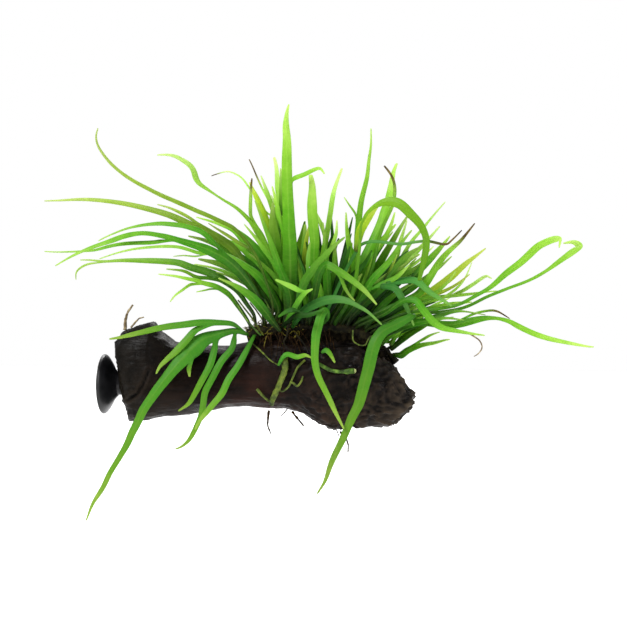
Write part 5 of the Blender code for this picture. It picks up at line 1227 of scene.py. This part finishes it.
def make_filling(fronds):
    """Fills the tuft with leaves that keep clear of the larger fronds, in a piece per look."""
    chance = np.random.default_rng(FAN_SEED)
    specs = list(FILLING) + [fan_spec(number, chance) for number in range(FAN_LEAVES)]
    for frond in fronds:
        for blade in frond:
            blade.still = True
    leaves = []
    for look, *depths, widths, route in specs:
        spec = ((None, 0, widths, route),)
        blades = blades_of(spec, None, depths, LEAF_STEP)
        for blade in blades:
            blade.hangs = blade.still = False
        leaves.append((look, spec, depths, blades))
    keep_apart(fronds + [blades for *_, blades in leaves])
    groups = {}
    for number, (look, spec, depths, old) in enumerate(leaves):
        blades = blades_of(spec, None, depths, FINE_STEP)
        smooth_depths(blades, old)
        for blade in blades:
            blade.dry = 0
        twist = FILLING_TWIST * sin(number * 2.4)
        groups.setdefault(look, []).append((blades, twist, None, spread_tone(number)))
    for look, group in groups.items():
        make_leaves_piece(f"filling_leaves_{look}", group, look, [])


# Which look each leaf has
LOOK_OF = {leaf: look for look, leaves in {
    "hanging": ("hanging_1", "hanging_2", "hanging_3", "hanging_4", "small_leaf_1",
        "small_leaf_2"),
    "olive": ("left_1", "left_2"),
    "deep": ("left_3", "left_5", "left_10", "top_11", "right_7", "right_9", "front_1", "inner_3",
        "inner_4"),
    "mid": ("left_4", "left_9", "top_1", "top_2", "top_5", "top_6", "top_7", "right_1",
        "right_4", "right_5", "right_6", "right_8", "right_10", "right_11"),
    "fresh": ("left_6", "left_7", "left_8", "top_4", "top_9", "right_3", "right_12"),
    "arch": ("top_3", "top_8"),
    "bluish": ("top_10", "front_3"),
    "yellow": ("right_2",),
    "front": ("front_2", "front_4"),
    "dark": ("front_5", "inner_1", "inner_2"),
}.items() for leaf in leaves}
# How light a frond is within its look, where it isn't one of the usual 0 (dark) to 1 (light)
LIGHTNESS = {
    "hanging_2": 0.2, "hanging_4": -0.3, "left_1": 0.5, "left_2": 0.6, "left_3": 1.1,
    "left_5": 1.2, "left_7": 1.3, "left_8": 1.1, "left_9": 1, "left_10": 1.9, "top_1": 1.2,
    "top_2": 0.8, "top_3": 0.3, "top_4": 1.2, "top_5": 0.9, "top_6": 1.2, "top_8": 0.7,
    "right_1": 0.8, "right_4": 1.2, "right_8": 1.1, "right_9": 1.1, "right_10": 1.1,
    "right_11": 2.2, "right_12": 2, "front_1": 0.3, "front_2": -0.1, "front_3": -0.2,
    "front_4": 0.8, "front_5": 0.9, "inner_1": 0.2, "inner_3": 1.5,
}
# How much of a blade's end has dried, by frond and blade number
DRIED = {
    ("top_7", 0): 0.2, ("left_7", 1): 0.12, ("left_6", 1): 0.3,
    ("right_1", 0): 0.2, ("right_8", 1): 0.6, ("left_7", 0): 0.2,
    ("top_10", 0): 0.3,
}


def hangs(name):
    """Whether a leaf lies in front of the wood, so that it has to keep clear of it."""
    return "hanging" in name or "small" in name


def make_leaves():
    """A sheet over each frond and small leaf, bent clear of the others, and the filling."""
    leaves = []
    for name, (stem, foot, depths, twist, spec) in FRONDS.items():
        start, root = foot_of(stem, *foot), Vector(foot_of(stem, *foot, -ROOTED))
        leaves.append(("frond_" + name, name, start, root, depths, twist, spec, LEAF_STEP))
    for name, (depth, twist, spec) in SMALL_LEAVES.items():
        depths = depth, depth - SMALL_LEAF_LEAN
        leaves.append((name, name, None, None, depths, twist, spec, LEAF_STEP / 2))
    coarse = []
    for node, _, start, _, depths, _, spec, step in leaves:
        blades = blades_of(spec, start, depths, step)
        for blade in blades:
            blade.hangs, blade.still = hangs(node), False
        coarse.append(blades)
    keep_apart(coarse)
    for number, (node, name, start, root, depths, twist, spec, _) in enumerate(leaves):
        blades = blades_of(spec, start, depths, FINE_STEP)
        smooth_depths(blades, coarse[number])
        for k, blade in enumerate(blades):
            blade.dry = DRIED.get((name, k), 0)
        tone = LIGHTNESS.get(name, spread_tone(number))
        make_leaves_piece(node + "_blade", [(blades, twist, root, tone)], LOOK_OF[name],
                          [node])
    make_filling(coarse)


# Driftwood

FINE_SIDES = 144
FINE_RINGS = 150
# Knots of the front: u, v, radius, how far they stand out, and how far apart their rings are
KNOTS = (
    (146.5, -4.5, 8.0, 1.2, 3.6), (133.0, 5.5, 5.0, 0.8, 4.2), (141.0, 7.0, 4.0, 0.8, 5.0),
    (118.0, -11.0, 6.5, 1.0, 3.6), (129.0, -14.0, 5.0, 0.8, 4.6), (106.0, -7.0, 4.5, -0.8, 3.0),
    (136.0, -11.0, 4.5, 0.8, 5.0), (152.0, -10.0, 3.0, 0.7, 4.0), (86.0, 13.0, 4.0, -0.6, 3.0),
    (25.0, 28.0, 4.0, 0.9, 9.0), (112.0, 3.0, 4.0, 0.6, 4.4), (124.0, 1.5, 6.0, 1.0, 3.2),
)
KNOT_SWIRL, KNOT_SWIRL_WIDTH = 2.4, 6.0
# Where the bends and swirls start in noise. Without it they would differ from run to run.
RELIEF_SEED = 5
# The crease and the worn corner beside the sawn end, in picture positions
CREASE = ((22.5, 7), (19.5, -0.5), (17, -4.5), (12, -8))
WORN_CORNER, WORN_WIDTH, WORN_DEPTH = (4.5, 24), 4.0, 1.2
# Heights of the relief's forms in mm: everywhere, and what the broken and sawn ends add
LUMP_HEIGHTS = 0.2, 0.8, 0.3
FOLD_HEIGHTS = 0.1, 1.3, 0.3
PIT_HEIGHTS = 0.1, 0.36, 0.2
STREAK_HEIGHT = 0.16
# Widths of the forms, or their length along the wood and width across it, and the folds' bends
LUMP_WIDTH, PIT_WIDTH = 10.0, 2.2
FOLD_SIZE = 9.0, 3.4
STREAK_SIZE = 16.0, 2.6
BEND_WIDTH, BEND_SIZE = 15.0, 7.0
# Where the rough broken end starts, where the sawn end stops, and over what length
BROKEN_FROM, BROKEN_FADE = 80.0, 45.0
SAWN_TO, SAWN_FADE = 38.0, 20.0
SAW_BEVEL, SAW_BEVEL_LENGTH = 0.8, 0.5
BORE_DEPTH = 9.0
BORE_RINGS = 10
# How the broken end closes: how far ahead each step goes, and its size beside the last one
BROKEN_STEPS = ((0.5, 0.9), (0.4, 0.8), (0.2, 0.65), (0.1, 0.4))


def distance_to_line(spot, line):
    """How far a picture position is from a line of points."""
    best = 1e9
    for a, b in zip(line, line[1:]):
        ab, ap = np.subtract(b, a), np.subtract(spot, a)
        t = min(1, max(0, ap.dot(ab) / ab.dot(ab)))
        best = min(best, float(np.linalg.norm(ap - ab * t)))
    return best


def along_wood(place, length, width):
    """A place in noise whose forms have this length along the wood and this width across."""
    return Vector((place.x / length, place.y / width, place.z / width))


def wood_relief(point):
    """How far the skin of the wood stands out at a point, in mm."""
    broken = min(1, max(0, (point.x - BROKEN_FROM) / BROKEN_FADE))
    sawn = min(1, max(0, (SAWN_TO - point.x) / SAWN_FADE))
    lump, fold, pit = (everywhere + more * broken + other * sawn
                       for everywhere, more, other in (LUMP_HEIGHTS, FOLD_HEIGHTS, PIT_HEIGHTS))
    bent = point + noise.noise_vector(point / BEND_WIDTH) * BEND_SIZE
    crest = 1 - 2 * abs(noise.noise(along_wood(bent, *FOLD_SIZE)))
    out = (STREAK_HEIGHT * noise.fractal(along_wood(point, *STREAK_SIZE), 1.0, 2.1, 3)
           + lump * noise.fractal(point / LUMP_WIDTH, 1.0, 2.0, 3)
           + fold * crest ** 3 - 0.5 * broken
           + pit * noise.fractal(point / PIT_WIDTH, 0.9, 2.1, 3))
    u, v = picture_of(point)
    worn = hypot(u - WORN_CORNER[0], v - WORN_CORNER[1]) / WORN_WIDTH
    out -= WORN_DEPTH * exp(-worn ** 2)
    if point.y < 0:
        swirl = noise.noise_vector(point / KNOT_SWIRL_WIDTH) * KNOT_SWIRL
        for ku, kv, radius, height, ring in KNOTS:
            away = hypot(u - ku + swirl.x, v - kv + swirl.z)
            out += height * exp(-(away / radius) ** 2) * (0.6 + 0.7 * cos(2 * pi * away / ring))
        way = distance_to_line((u, v), CREASE)
        out += 0.9 * exp(-((way - 1.3) / 1.0) ** 2) - 1.2 * exp(-(way / 0.8) ** 2)
    return out


def place_wood(vert, first, last):
    """Takes a vertex of a unit cylinder to its place on the wood's skin."""
    x = first + (vert.co.z + 0.5) * (last - first)
    x, y, z = wood_point(x, atan2(vert.co.y, vert.co.x))
    near_end = max(0.0, 1 - (x - first) / END_REACH)
    vert.co = seen_at(x - END_SLANT * near_end * z, z, y * near_end)
    vert.co.y = y


def push_out(bm, face):
    """Extrudes a face and returns the new one, without leaving the old one inside."""
    made = bmesh.ops.extrude_face_region(bm, geom=[face])["geom"]
    bmesh.ops.delete(bm, geom=[face], context="FACES_ONLY")
    return next(g for g in made if isinstance(g, bmesh.types.BMFace))


def make_wood():
    """The driftwood's skin, from a cylinder, with its broken end, sawn end and bore."""
    bm = bmesh.new()
    bmesh.ops.create_cone(bm, cap_ends=True, segments=FINE_SIDES, radius1=1, radius2=1, depth=1)
    lengthwise = [e for e in bm.edges if abs(e.verts[0].co.z - e.verts[1].co.z) > 0.5]
    bmesh.ops.subdivide_edges(bm, edges=lengthwise, cuts=FINE_RINGS - 1)
    sawn, broken = sorted((f for f in bm.faces if len(f.verts) > 4),
                          key=lambda f: f.calc_center_median().z)
    first, last = WOOD[0][0], WOOD[-1][0]
    for vert in bm.verts:
        place_wood(vert, first, last)
    for ahead, size in BROKEN_STEPS:
        broken = push_out(bm, broken)
        middle = broken.calc_center_median()
        for vert in broken.verts:
            vert.co = middle + (vert.co - middle) * size + Vector((ahead, 0, 0))
    bmesh.ops.poke(bm, faces=[broken])
    # The sawn end has a rounded edge and the bore for the cup's neck
    bmesh.ops.inset_region(bm, faces=[sawn], thickness=SAW_BEVEL, depth=SAW_BEVEL_LENGTH)
    sawn = push_out(bm, sawn)
    radial = [e for v in sawn.verts for e in v.link_edges if e not in sawn.edges[:]]
    radius = NECK_RADIUS + BORE_GAP
    for vert in sawn.verts:
        way = atan2(vert.co.z, vert.co.y)
        x = first - END_SLANT * radius * sin(way)
        vert.co = Vector((x, radius * cos(way), radius * sin(way)))
    bmesh.ops.subdivide_edges(bm, edges=radial, cuts=BORE_RINGS)
    sawn = push_out(bm, sawn)
    bmesh.ops.translate(bm, vec=(BORE_DEPTH, 0, 0), verts=sawn.verts)
    bmesh.ops.poke(bm, faces=[sawn])
    bmesh.ops.recalc_face_normals(bm, faces=bm.faces)
    bm.normal_update()
    # The relief also colours the wood, partly as painted shade in hollows and painted highlight on
    # ridges
    relief = bm.verts.layers.float.new("relief")
    noise.seed_set(RELIEF_SEED)
    for vert in bm.verts:
        vert[relief] = wood_relief(vert.co)
        if vert.co.x > 20 or hypot(vert.co.y, vert.co.z) > NECK_RADIUS + 1:
            vert.co += vert.normal * vert[relief]
    finish_mesh(bm, "driftwood_skin", MATERIALS["wood"], ["driftwood"])


# Suction cup

HOLLOW_POINTS = 14
CUP_SIDES = 96


def make_fine_cup():
    """The cup, spun from its outline: hollow face, rounded rim, back and neck."""
    rim = CUP_RADIUS - CUP_RIM_WIDTH
    hollow = [(CUP_HOLLOW * (1 - (r / rim) ** 2), r) for r in np.linspace(0, rim, HOLLOW_POINTS)]
    back = smooth_line([(CUP_LIP, CUP_RADIUS - 0.1), *CUP_BACK], 0.6)
    neck = [(NECK_END - 0.8, NECK_RADIUS), (NECK_END - 0.2, NECK_RADIUS - 0.3),
            (NECK_END, NECK_RADIUS - 0.9), (NECK_END, 0)]
    outline = hollow + [(0.0, CUP_RADIUS - 0.3), (0.1, CUP_RADIUS - 0.08),
                        (0.3, CUP_RADIUS), (CUP_LIP - 0.15, CUP_RADIUS)] + list(back) + neck
    bm = bmesh.new()
    verts = [bm.verts.new((x, 0, r)) for x, r in outline]
    line = [bm.edges.new(pair) for pair in zip(verts, verts[1:])]
    bmesh.ops.spin(bm, geom=verts + line, cent=(0, 0, 0), axis=(1, 0, 0), angle=2 * pi,
                   steps=CUP_SIDES, use_merge=True)
    bmesh.ops.remove_doubles(bm, verts=bm.verts, dist=1e-4)
    bmesh.ops.recalc_face_normals(bm, faces=bm.faces)
    finish_mesh(bm, "suction_cup_rubber", MATERIALS["rubber"], ["suction_cup"])


# Stems and roots

def grow_tube(bm, path, radii, sides, roughness, scale):
    """A closed round stem through the points of a path, extruded ring by ring."""
    path = [Vector(p) for p in path]
    ring, previous = None, None
    for k, (point, radius) in enumerate(zip(path, radii)):
        along = (path[min(k + 1, len(path) - 1)] - path[max(k - 1, 0)]).normalized()
        side = along.orthogonal() if previous is None else previous - along * previous.dot(along)
        side.normalize()
        previous = side
        over = along.cross(side)
        if ring is None:
            made = bmesh.ops.create_circle(bm, cap_ends=False, segments=sides, radius=1)
            verts = made["verts"]
            edges = list({e for v in verts for e in v.link_edges})
            first = verts
        else:
            made = bmesh.ops.extrude_edge_only(bm, edges=edges)["geom"]
            verts = [g for g in made if isinstance(g, bmesh.types.BMVert)]
            edges = [g for g in made if isinstance(g, bmesh.types.BMEdge)
                     and all(v in verts for v in g.verts)]
            verts = [next(e.other_vert(old) for e in old.link_edges if e.other_vert(old) in verts)
                     for old in ring]
        for j, vert in enumerate(verts):
            turn = 2 * pi * j / sides
            out = side * cos(turn) + over * sin(turn)
            spot = point + out * radius
            vert.co = spot + out * roughness * noise.noise(spot / scale)
        ring = verts
    for end in (first, ring):
        bmesh.ops.contextual_create(bm, geom=end)


def finer(path, radii, step):
    """More points of a path and its radii."""
    line = smooth_line(np.column_stack([np.asarray(path, float), radii]), step)
    return line[:, :3], line[:, 3]


def make_stem_piece(name, path, radii, step, finish, slot, node, sides, roughness, scale):
    """The bark of one stem, as a tube with rings a step apart."""
    bm = bmesh.new()
    grow_tube(bm, *finer(path, radii, step), sides, roughness, scale)
    bmesh.ops.recalc_face_normals(bm, faces=bm.faces)
    finish_mesh(bm, name, MATERIALS[finish], [node])


def make_fine_stems():
    """Bark over every stem, stalk and root that is a solid."""
    for name in RHIZOMES:
        make_stem_piece(name + "_bark", *rhizome_axis(name), 1.0, "rhizome", "rhizome", name,
                        20, 0.9, 2.2)
    radius, route = FRONT_RHIZOME
    path = in_front_of_wood(route, radius)
    radii = np.linspace(radius, 0.8 * radius, len(path))
    make_stem_piece("rhizome_front_bark", path, radii, 0.8, "green_stem", "rhizome",
                    "rhizome_front", 16, 0.45, 1.5)
    radius, route = CUT_STUB
    path = in_front_of_wood(route, STUB_END_RADIUS)
    radii = [radius] * (len(path) - 2) + [STUB_END_RADIUS] * 2
    make_stem_piece("cut_stub_stem", path, radii, 0.7, "dark_stem", "rhizome", "cut_stub",
                    14, 0.2, 1.2)
    for kind, part, finish, rows, roughness, scale in (
            ("dry_stalk", "fibre", "dry", DRY_STALKS, 0.25, 1.2),
            ("root", "hair", "root", ROOTS, 0.3, 1.4)):
        for number, (radius, depth, route) in enumerate(rows, 1):
            node = f"{kind}_{number}"
            path = [seen_at(u, v, depth) for u, v in smooth_line(route, STEM_STEP)]
            radii = np.linspace(radius, radius / 2, len(path))
            make_stem_piece(f"{node}_{part}", path, radii, 0.8, finish, kind, node, 8,
                            roughness, scale)


# Thin stems in picture positions: finish, radius, depth or None on the wood's front, route
THIN_STEMS = (
    ("green_stem", 0.7, None, ((76.5, -2.5), (79.5, -6), (83, -9))),
    ("green_stem", 0.55, None, ((100.5, 12), (97, 8.5), (94.5, 3.5), (92.5, -1), (89.5, -3.5),
                                (87.5, -3))),
    ("green_stem", 0.6, None, ((93, 1), (94.5, .5), (96.5, -1), (98.5, 1), (99.5, 4))),
    ("green_stem", 0.4, None, ((74.5, 20), (79, 16), (83, 12), (87, 9.5))),
    ("rhizome", 0.45, -19, ((92, 29.5), (91.5, 24.5), (90, 20.5), (94, 16))),
    ("rhizome", 0.4, -18.5, ((95.5, 25.5), (100.5, 19.5), (102.5, 16))),
    ("green_stem", 0.36, -18, ((124.5, 27), (124.5, 22), (127, 19.8), (130.5, 19.5), (133, 23.5),
                              (137, 24.5))),
    ("dark_stem", 0.45, -10, ((78.5, 24.5), (77.2, 25.5), (71, 32.7), (66.2, 40.4), (62.3, 45.7))),
    ("green_stem", 0.5, -6, ((80, 24.5), (78.5, 26), (73.8, 33.2), (70.5, 37.5), (67, 42))),
    ("green_stem", 0.45, 2, ((82.5, 26), (81.5, 28.5), (76.7, 36), (72.9, 40.8))),
    ("dark_stem", 0.5, -3, ((88.5, 27), (87.7, 29.5), (83.4, 36.5), (80.5, 42.3))),
    ("rhizome", 0.45, 4, ((89.5, 28), (89, 31.3), (85.8, 39), (82.5, 45.6))),
    ("root", 0.3, -4, ((115, -21), (116.5, -23.5), (117.5, -26))),
    ("root", 0.3, 0, ((92, -12), (90, -14.5), (88.5, -16))),
    ("dry", 0.35, -13, ((183, 25), (187.5, 22), (189, 18.5), (187.5, 15.5), (185, 13.8))),
)


def make_thin_stems():
    """Bare stalks, side roots and runners that aren't solids, in a piece per finish."""
    meshes = {}
    for finish, radius, depth, route in THIN_STEMS:
        if depth is None:
            path = in_front_of_wood(route, radius, 0.1)
        else:
            path = [seen_at(u, v, depth) for u, v in smooth_line(route, STEM_STEP)]
        radii = radius * np.linspace(1.1, 0.75, len(path))
        if finish not in meshes:
            meshes[finish] = bmesh.new()
        grow_tube(meshes[finish], *finer(path, radii, 0.7), 8, 0.12, 1.0)
    for finish, bm in meshes.items():
        bmesh.ops.recalc_face_normals(bm, faces=bm.faces)
        finish_mesh(bm, f"thin_stems_{finish}", MATERIALS[finish], [])


# Moss and root hairs: finish, how many, first and last x, length, thickness, how far up
HAIRS = (
    ("moss", 260, 73, 99, 5.5, 0.32, 1.0),
    ("root", 240, 76, 114, 8.0, 0.3, -0.2),
)
HAIR_SEED = 11
HAIR_POINTS = 5
HAIR_DEPTHS = -7, 8
HAIR_LIFT = 3.5


def on_wood(x, y, lift):
    """A point above the wood's top at x and y."""
    middle, above, _, half = wood_section(x)
    top = middle + above * bulge(min(0.98, abs(y) / half))
    place = seen_at(x, top + lift, 0)
    return Vector((place.x, y, place.z))


def make_hairs():
    """Fine hairs that leave the creeping stems and cling to the wood or stand up as moss."""
    chance = np.random.default_rng(HAIR_SEED)
    for finish, count, first, last, length, thickness, up in HAIRS:
        curve = bpy.data.curves.new(finish + "_hairs", "CURVE")
        curve.dimensions, curve.use_fill_caps = "3D", True
        curve.bevel_depth, curve.bevel_resolution = MM, 0
        for _ in range(count):
            x, y = chance.uniform(first, last), chance.uniform(*HAIR_DEPTHS)
            lift = HAIR_LIFT + chance.uniform(-1, 2)
            dx, dy = chance.uniform(-1, 1), chance.uniform(-1, 1) * 1.6
            own = length * chance.uniform(0.5, 1.2)
            line = curve.splines.new("POLY")
            line.points.add(HAIR_POINTS - 1)
            for k, point in enumerate(line.points):
                t = k / (HAIR_POINTS - 1)
                place = on_wood(x + dx * own * t, y + dy * own * t, lift)
                place.z += own * (up * t * 0.8 if up > 0 else -0.35 * t * lift / 3)
                place.z += 0.6 * sin(5 * t + x)
                point.co = (*(place * MM), 1)
                point.radius = thickness * (1.1 - 0.8 * t)
        piece = bpy.data.objects.new(finish + "_hairs", curve)
        curve.materials.append(MATERIALS[finish])
        bpy.context.scene.collection.objects.link(piece)
        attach(piece, "root")


# The root mat: x, y and radius along its two strands, and how deep they sink into the wood
MATS = (((73, -4.5, 2.4), (84, -3.5, 3.0), (98, -4, 3.4), (112, -5, 3.4), (124, -4.5, 3.2),
         (134, -4.5, 3.0), (141, -2, 2.0)),
        ((82, 5, 2.4), (96, 6, 3.2), (112, 6, 3.4), (128, 6, 3.0), (137, 5, 2.2), (142, 4, 1.4)))
MAT_SINK = 0.8


def make_root_mat():
    """The matted roots and old leaf bases that bed the creeping stems on the wood, near black
    partly with painted shade under the tuft.
    """
    bm = bmesh.new()
    for route in MATS:
        line = smooth_line(route, 1.2)
        path = [on_wood(x, y, radius * 0.5 - MAT_SINK) for x, y, radius in line]
        radii = [radius * (0.9 + 0.25 * sin(2.1 * x)) for x, y, radius in line]
        grow_tube(bm, path, radii, 22, 2.0, 1.7)
    bmesh.ops.recalc_face_normals(bm, faces=bm.faces)
    finish_mesh(bm, "root_mat", MATERIALS["mat"], [])


# How wide the cut end's pith is, as a share of the stem
PITH_SHARE = 0.88


def make_cut_face():
    """The pale round end where a stem was cut off."""
    place = in_front_of_wood((CUT_STUB[1][-2], CUT_STUB[1][-1]), STUB_END_RADIUS)[-1]
    bm = bmesh.new()
    bmesh.ops.create_uvsphere(bm, u_segments=16, v_segments=10,
                              radius=PITH_SHARE * STUB_END_RADIUS)
    bmesh.ops.translate(bm, vec=place, verts=bm.verts)
    finish_mesh(bm, "cut_stub_end", MATERIALS["cut_face"], [])


bpy.context.scene.view_settings.view_transform = "Standard"
make_studio()
MATERIALS = {name: leaf_material("leaf_" + name, codes) for name, codes in LOOKS.items()}
MATERIALS.update(
    wood=wood_material(), rubber=rubber_material(),
    rhizome=stem_material("rhizome_bark", 2.5, ("#060503", "#100e06", "#221f0d"), 0.8, 0.15),
    green_stem=stem_material("green_rhizome", 3.0, ("#1c260a", "#3a4814", "#5c6822"), 0.6, 0.3),
    dark_stem=stem_material("dark_green_stem", 3.0, ("#1c2c0c", "#345016", "#5a7a2a"), 0.55, 0.3),
    # Near black: the roots' own dark colour deepened with painted shade under the tuft
    mat=stem_material("matted_roots", 2.0, ("#020100", "#090704", "#18130a"), 0.9, 0.05),
    moss=stem_material("moss", 1.5, ("#2a2408", "#4e4614", "#7a7430"), 0.9, 0.1),
    cut_face=stem_material("cut_stem_pith", 1.0, ("#6e7a40", "#969e64", "#b6ba8c"), 0.7, 0.2),
    root=stem_material("root_fibre", 2.0, ("#0d0703", "#20150a", "#3c2a14"), 0.85, 0.1),
    dry=stem_material("dry_stalk_fibre", 2.0, ("#3a3020", "#6a5c44", "#9a8c6c"), 0.85, 0.2))
make_wood()
make_fine_cup()
make_fine_stems()
make_thin_stems()
make_hairs()
make_root_mat()
make_cut_face()
make_leaves()
